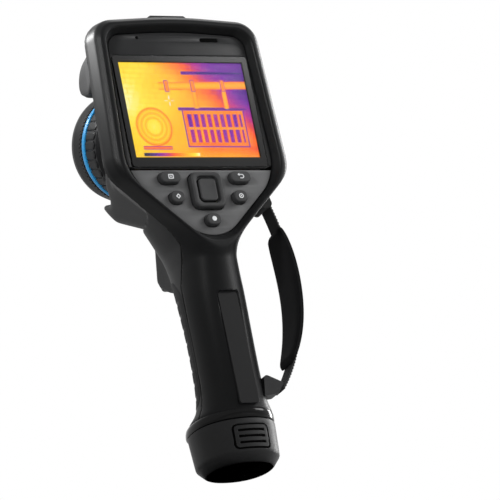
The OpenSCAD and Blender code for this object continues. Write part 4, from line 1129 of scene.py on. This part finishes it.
# label plate, port cover and the two nose buttons
plaque = {"w": 12.4, "h": 68, "y": -16.7, "z": 66, "lean": np.radians(1.1)}
coverLine = [(-12.75, 274.8, 1.5), (13.5, 274.95, 0.3), (13.5, 276.6, 0.5), (11.4, 278.35, 1.2),
             (-10.4, 278.35, 1.2), (-12.6, 277.0, 1.0)]
noseKeys = {
    "triggerKey": {"node": "trigger", "z": 134.4, "h": 15.6, "proud": 1.15, "crown": -0.6},
    "focusKey": {"node": "focus_button", "z": 150, "h": 12, "proud": 0.85, "crown": 0.12},
}


def smallPieces():
    c, s = np.cos(plaque["lean"]), np.sin(plaque["lean"])
    face = [(0, plaque["y"], plaque["z"]), (1, 0, 0), (0, s, c), (0, -c, s)]
    edge = evenOutline(roundedRect(plaque["w"], plaque["h"], 1.2), 120)
    plate = softBlock(face, edge, [(0, -1.6), (0, 0.35), (0.12, 0.5), (0.16, 0.5)])
    addPiece("labelPlate", plate, "labelPlate", ["label_plaque"])
    edge = evenOutline(roundCorners(coverLine, 8), 160)
    ends = [(0.8, -36), (0.25, -35.8), (0, -35.2), (0, 9.6), (0.25, 10.2), (0.8, 10.4)]
    addPiece("portCover", softBlock(rearFace, edge, ends), "frontShell",
             ["port_cover"], "port_cover")
    for name, key in noseKeys.items():
        top = key["proud"]
        edge = evenOutline(roundedRect(11.6, key["h"], 2.2), 88)
        prof = [(0, -5), (0, top - 0.75), (0.2, top - 0.25), (0.6, top - 0.04), (1.0, top)]
        block = softBlock(noseFrame(key["z"]), edge, prof, key["crown"])
        addPiece(name, block, "keyRubber", [key["node"]], key["node"])


smallPieces()
print("label plate, port cover and nose buttons")

# foot: glossy collar, chamfered battery cap and the squeeze latches, all on superellipse rings of
# [z, half width, front, rear]
foot = {
    "collar": [(25.1, 24.6, 37.8, -14.0), (25.4, 24.95, 38.2, -14.4), (26.4, 25.1, 38.4, -14.7),
               (28.0, 25.0, 38.1, -15.0), (29.4, 24.75, 37.2, -15.2), (30.1, 24.3, 36.2, -15.0),
               (30.5, 23.4, 34.6, -14.2), (30.6, 22.4, 33.4, -13.2)],
    "cap": np.array([
        (0, 19.4, 28.6, -7.8), (0.35, 20.0, 29.3, -8.5), (0.8, 20.5, 29.9, -9.1),
        (4.6, 23.6, 33.55, -12.4), (5.4, 24.05, 34.05, -12.85), (6.6, 24.2, 34.25, -13.0),
        (12, 24.5, 34.7, -13.25),
        (18, 24.8, 35.2, -13.5), (24.0, 25.05, 35.75, -13.8), (24.5, 24.95, 35.6, -13.65),
        (24.8, 24.6, 35.2, -13.3)]),
    "midY": 10.5, "latchW": 11.6, "latchLow": 6.6, "latchHigh": 21.4, "pocket": 3.2,
    "grooves": (10.4, 14.0, 17.6), "grooveDepth": 0.9,
}


# ring of a superellipse with half width a between rear r and front f
def oval(a, f, r, z, n=144):
    th, p = turns(n), 2 / handle["power"]
    y = (f + r) / 2 + (f - r) / 2 * signedPower(np.sin(th), p)
    return np.stack([a * signedPower(np.cos(th), p), y, 0 * th + z], 1)


def capAt(z):
    return [np.interp(z, foot["cap"][:, 0], foot["cap"][:, k]) for k in (1, 2, 3)]


# latch pad on the cap's curve, with three grooves across it; the groove floors and the sunken skirt
# round the pad are real dips, painted near-black as shade
def latchPad(sign, name, node, outline):
    prof = [(0.0, -1.4), (0.0, -0.6), (0.55, -0.6), (0.65, 0.04), (0.8, 0.16), (0.85, 0.16)]
    x, z, h = flatRings(outline, prof, np.linspace(0.97, 0.03, 60))
    line = np.min([np.abs(z - k) for k in foot["grooves"]], 0)
    grooveShade = (1 - smoothStep(line, 0.42, 0.75)) * (1 - smoothStep(np.abs(x), 7.9, 8.6)) * (h > 0.1)
    h = h - foot["grooveDepth"] * grooveShade
    a, f, r = capAt(z)
    deep = (1 - np.abs(x / a) ** handle["power"]) ** (1 / handle["power"])
    y = (f + r) / 2 + sign * ((f - r) / 2 * deep + h)
    pts, faces = ringStack(np.stack([x, y, z], -1))
    faces = [q[:, ::-sign] for q in faces]
    pad = addPiece(name, (pts, faces), "capBlack", [node], node, crisp=60)
    # faces below the pad top, in the grooves and on the skirt, take the near-black finish: painted
    # shade
    pad.data.materials.append(finishes["grooveShade"])
    height = np.append(h.ravel(), [0, 0])
    low = np.concatenate([height[q].mean(1) < -0.15 for q in faces])
    pad.data.polygons.foreach_set("material_index", low.astype(np.int32))


def footPieces():
    collar = np.array([oval(a, f, r, z) for z, a, f, r in foot["collar"]])
    addPiece("handleCollar", ringStack(collar), "gloss", ["handle_collar"])
    width, height = 2 * foot["latchW"] - 1, foot["latchHigh"] - foot["latchLow"] - 0.6
    outline = evenOutline(roundedRect(width, height, 2.6, 0, 14), 120)
    # the cap's wall steps in behind each latch pad, with room for its squeeze
    level = np.unique(np.concatenate([foot["cap"][:, 0], np.linspace(6.3, 21.7, 66)]))
    cap = np.array([oval(*capAt(z), z, 480) for z in level])
    away = outlineDistance(outline, cap[..., 0], cap[..., 2])
    step = foot["pocket"] * (1 - smoothStep(away, 0.15, 0.4))
    cap[..., 1] -= np.sign(cap[..., 1] - foot["midY"]) * step
    addPiece("batteryCap", ringStack(cap), "capBlack", ["battery_cap"], "battery",
             crisp=30)
    latchPad(1, "latchFront", "latch_front", outline)
    latchPad(-1, "latchRear", "latch_rear", outline)


footPieces()
print("foot")

# hand strap on the right: ribbed webbing along one curve, and a stuffed pad under it
strap = {"path": np.array([(46.6, 2, 158.5), (55, -1, 122), (53, -6, 76), (25, -8.6, 42)]),
         "webW": 11, "padW": 26, "padFrom": 0.13, "padTo": 0.86, "padDeep": 2.9, "ribPitch": 2.1,
         "ribH": 0.55, "bar": np.array([44.4, 2, 160.0]), "loopR": (2.9, 1.65)}


# cubic curve, its tangent, the across direction near Y and the outward normal
def strapFrame(s):
    p = strap["path"]
    s = np.asarray(s)[:, None]
    q = 1 - s
    at = q ** 3 * p[0] + 3 * s * q ** 2 * p[1] + 3 * s * s * q * p[2] + s ** 3 * p[3]
    go = 3 * (q ** 2 * (p[1] - p[0]) + 2 * s * q * (p[2] - p[1]) + s * s * (p[3] - p[2]))
    go = go / np.linalg.norm(go, axis=1, keepdims=True)
    side = np.array([0, 1.0, 0]) - go * go[:, 1:2]
    side = side / np.linalg.norm(side, axis=1, keepdims=True)
    return at[:, None], side[:, None], np.cross(go, side)[:, None]


# webbing: a flat ring of points along the curve, ribbed on top, and the loop round the upper bar
def strapWebbing():
    at, side, away = strapFrame(np.linspace(0, 1, 421))
    run = np.concatenate([[0], np.cumsum(np.linalg.norm(np.diff(at[:, 0], axis=0), axis=1))])
    rib = strap["ribH"] * np.abs(np.sin(np.pi * run / strap["ribPitch"]))[:, None]
    half = strap["webW"] / 2
    ring = np.array([(half, 0.1), (half, 0.9), (half - 0.5, 1.15), (0, 1.2), (-half + 0.5, 1.15),
                     (-half, 0.9), (-half, 0.1), (0, 0.05)])
    top = np.array([0, 0, 1, 1, 1, 0, 0, 0])
    web = ringStack(at + side * ring[:, :1] + away * (ring[:, 1] + rib * top)[..., None])
    a = turns(39)
    big, small = strap["loopR"]
    loop = [np.stack([r * np.cos(a), half * k + 0 * a, r * np.sin(a)], 1)
            for r, k in ((big, -1), (big, 1), (small, 1), (small, -1))]
    loop = (strap["bar"] + np.concatenate(loop), [bandFaces(4, len(a))])
    addPiece("strapWebbing", joinParts([web, loop]), "webbing", ["strap_webbing"],
             crisp=70)


# pad: wider towards its middle, thinner at its ends, with a stitched line along each side
def strapPad():
    u = np.linspace(0, 1, 121)
    at, side, away = strapFrame(strap["padFrom"] + (strap["padTo"] - strap["padFrom"]) * u)
    least = strap["webW"] + 2
    wide = least + (strap["padW"] - least) * np.sqrt(np.maximum(1 - np.abs(2 * u - 1) ** 3.2, 0))
    end = np.sqrt(np.clip(np.minimum(u, 1 - u) / 0.04, 0.02, 1))[:, None]
    c = np.linspace(-1, 1, 33)
    stitch = np.exp(-((np.abs(c) - 0.86) / 0.03) ** 2)
    puff = np.sqrt(np.maximum(1 - np.abs(c) ** 6, 0)) - 0.35 * stitch
    upper = -0.2 - 0.1 * (1 - puff) + 0 * end
    lower = -0.3 - strap["padDeep"] * puff * end
    over = np.concatenate([c, c[::-1]]) * wide[:, None] / 2
    rise = np.concatenate([upper, lower[:, ::-1]], 1)
    pts, faces = ringStack(at + side * over[..., None] + away * rise[..., None])
    pad = addPiece("strapPad", (pts, [f[:, ::-1] for f in faces]), "strapPad",
                   ["hand_strap"], crisp=80)


strapWebbing()
strapPad()
print("strap")

# CAD solids that stay as they are take a finish by the kind of part
kept = {
    "boardGreen": ["keypad_board", "main_board", "port_board", "trigger_board"],
    "alu": ["chassis_plate", "detector_module", "nav_gimbal"],
    "steel": ["usb_socket", "hdmi_socket", "card_slot", "mount_screws", "shutter_blade"],
    "brass": ["contact_block", "shutter_motor"],
    "lensBlack": ["port_hinge_pin", "lens_barrel", "lens_mount", "laser_module", "speaker"],
    "darkOptic": ["laser_lens", "rear_lens"],
    "batteryGrey": ["battery_case"],
    "frontShell": ["strap_hardware"],
}
for finish, names in kept.items():
    for name in names:
        for holder in cadNodes[name].material_slots:
            holder.material = finishes[finish]
print("kept solids:", sum(len(v) for v in kept.values()))

# studio: white surround, pale floor that the low camera sees through, and soft lamps as place, aim,
# size, watts and spread in degrees
studio = {
    "fill": 0.5, "rings": 12, "spokes": 48, "reach": 4, "fade": (0.3, 1.2),
    "lamps": [
        ("leftFront", (-0.2, 0.12, 0.42), (-0.055, -0.012, 0.275), (0.12, 0.08), 0.14, 34),
        ("leftRear", (-0.75, -0.42, 0.55), (-0.03, 0, 0.27), (0.2, 0.2), 0.14, 16),
        ("rightStrip", (0.62, 0.16, 0.27), (0.02, 0, 0.16), (0.14, 0.6), 2.4, 120),
        ("rightRear", (0.66, -0.41, 0.42), (0.01, -0.015, 0.14), (0.4, 0.4), 1.1, 80),
        ("overShoulder", (0.555, -0.85, 0.7), (0.555, 0, 0.7), (0.14, 0.12), 1.4, 180),
        ("topSoft", (0.35, 0.3, 0.95), (0, 0, 0.25), (0.4, 0.4), 0.4, 120),
    ],
}


def addWorld():
    world = bpy.data.worlds.new("studioWorld")
    scene.world = world
    world.use_nodes = True
    tree = world.node_tree
    glow = tree.nodes["Background"]
    path = tree.nodes.new("ShaderNodeLightPath").outputs
    seen = addMath(tree, "MAXIMUM", path["Is Glossy Ray"], path["Is Transmission Ray"])
    seen = addMath(tree, "MAXIMUM", path["Is Camera Ray"], seen)
    glow.inputs["Color"].default_value = (1, 1, 1, 1)
    tree.links.new(addRange(tree, seen, 0, 1, studio["fill"], 1), glow.inputs["Strength"])


def addLamp(name, at, aim, size, power, spread):
    data = bpy.data.lights.new(name, "AREA")
    data.shape = "RECTANGLE"
    data.size, data.size_y = size
    data.energy = power
    data.spread = np.radians(spread)
    lamp = bpy.data.objects.new(name, data)
    lamp.visible_camera = False
    back = unit(np.array(at) - np.array(aim))
    side = unit(np.cross((0, 0, 1), back))
    turn = Matrix(np.stack([side, np.cross(back, side), back], 1).tolist()).to_4x4()
    lamp.matrix_world = Matrix.Translation(at) @ turn
    scene.collection.objects.link(lamp)


# to the camera the floor fades out into the white surround, and is clear from below
def floorFinish():
    mat, tree, shader, where = nodeSet("floorPale")
    shade = addMix(tree, addNoise(tree, where, 6, 2), (0.86, 0.86, 0.86), (0.9, 0.9, 0.9))
    tree.links.new(shade, shader.inputs["Base Color"])
    setInputs(shader, {"Roughness": 0.7, "Specular IOR Level": 0.1})
    path, facing, clear, mix, away = (tree.nodes.new("ShaderNode" + kind) for kind in (
        "LightPath", "NewGeometry", "BsdfTransparent", "MixShader", "VectorMath"))
    away.operation = "LENGTH"
    tree.links.new(where, away.inputs[0])
    fade = addRange(tree, away.outputs["Value"], *studio["fade"], 0, 1, "SMOOTHSTEP")
    hidden = addMath(tree, "MAXIMUM", facing.outputs["Backfacing"], fade)
    hidden = addMath(tree, "MULTIPLY", hidden, path.outputs["Is Camera Ray"])
    for k, socket in enumerate((hidden, shader.outputs[0], clear.outputs[0])):
        tree.links.new(socket, mix.inputs[k])
    tree.links.new(mix.outputs[0], tree.nodes["Material Output"].inputs["Surface"])
    return mat


# disc of rings whose radius grows with the square of their number
def addFloor():
    m, n = studio["rings"], studio["spokes"]
    r = np.linspace(0.02, 1.0, m)[:, None] ** 2 * studio["reach"]
    a, i = turns(n), np.arange(n)
    pts = np.stack([r * np.cos(a), r * np.sin(a), 0 * r * a], -1).reshape(-1, 3)
    fan = np.stack([i, (i + 1) % n, np.full(n, m * n)], 1)
    mesh = bpy.data.meshes.new("floor")
    mesh.from_pydata(pts.tolist() + [(0, 0, 0)], [], ringFaces(m, n)[:, ::-1].tolist() + fan.tolist())
    mesh.materials.append(floorFinish())
    floor = bpy.data.objects.new("floor", mesh)
    scene.collection.objects.link(floor)


addWorld()
for row in studio["lamps"]:
    addLamp(*row)
addFloor()
print("studio")
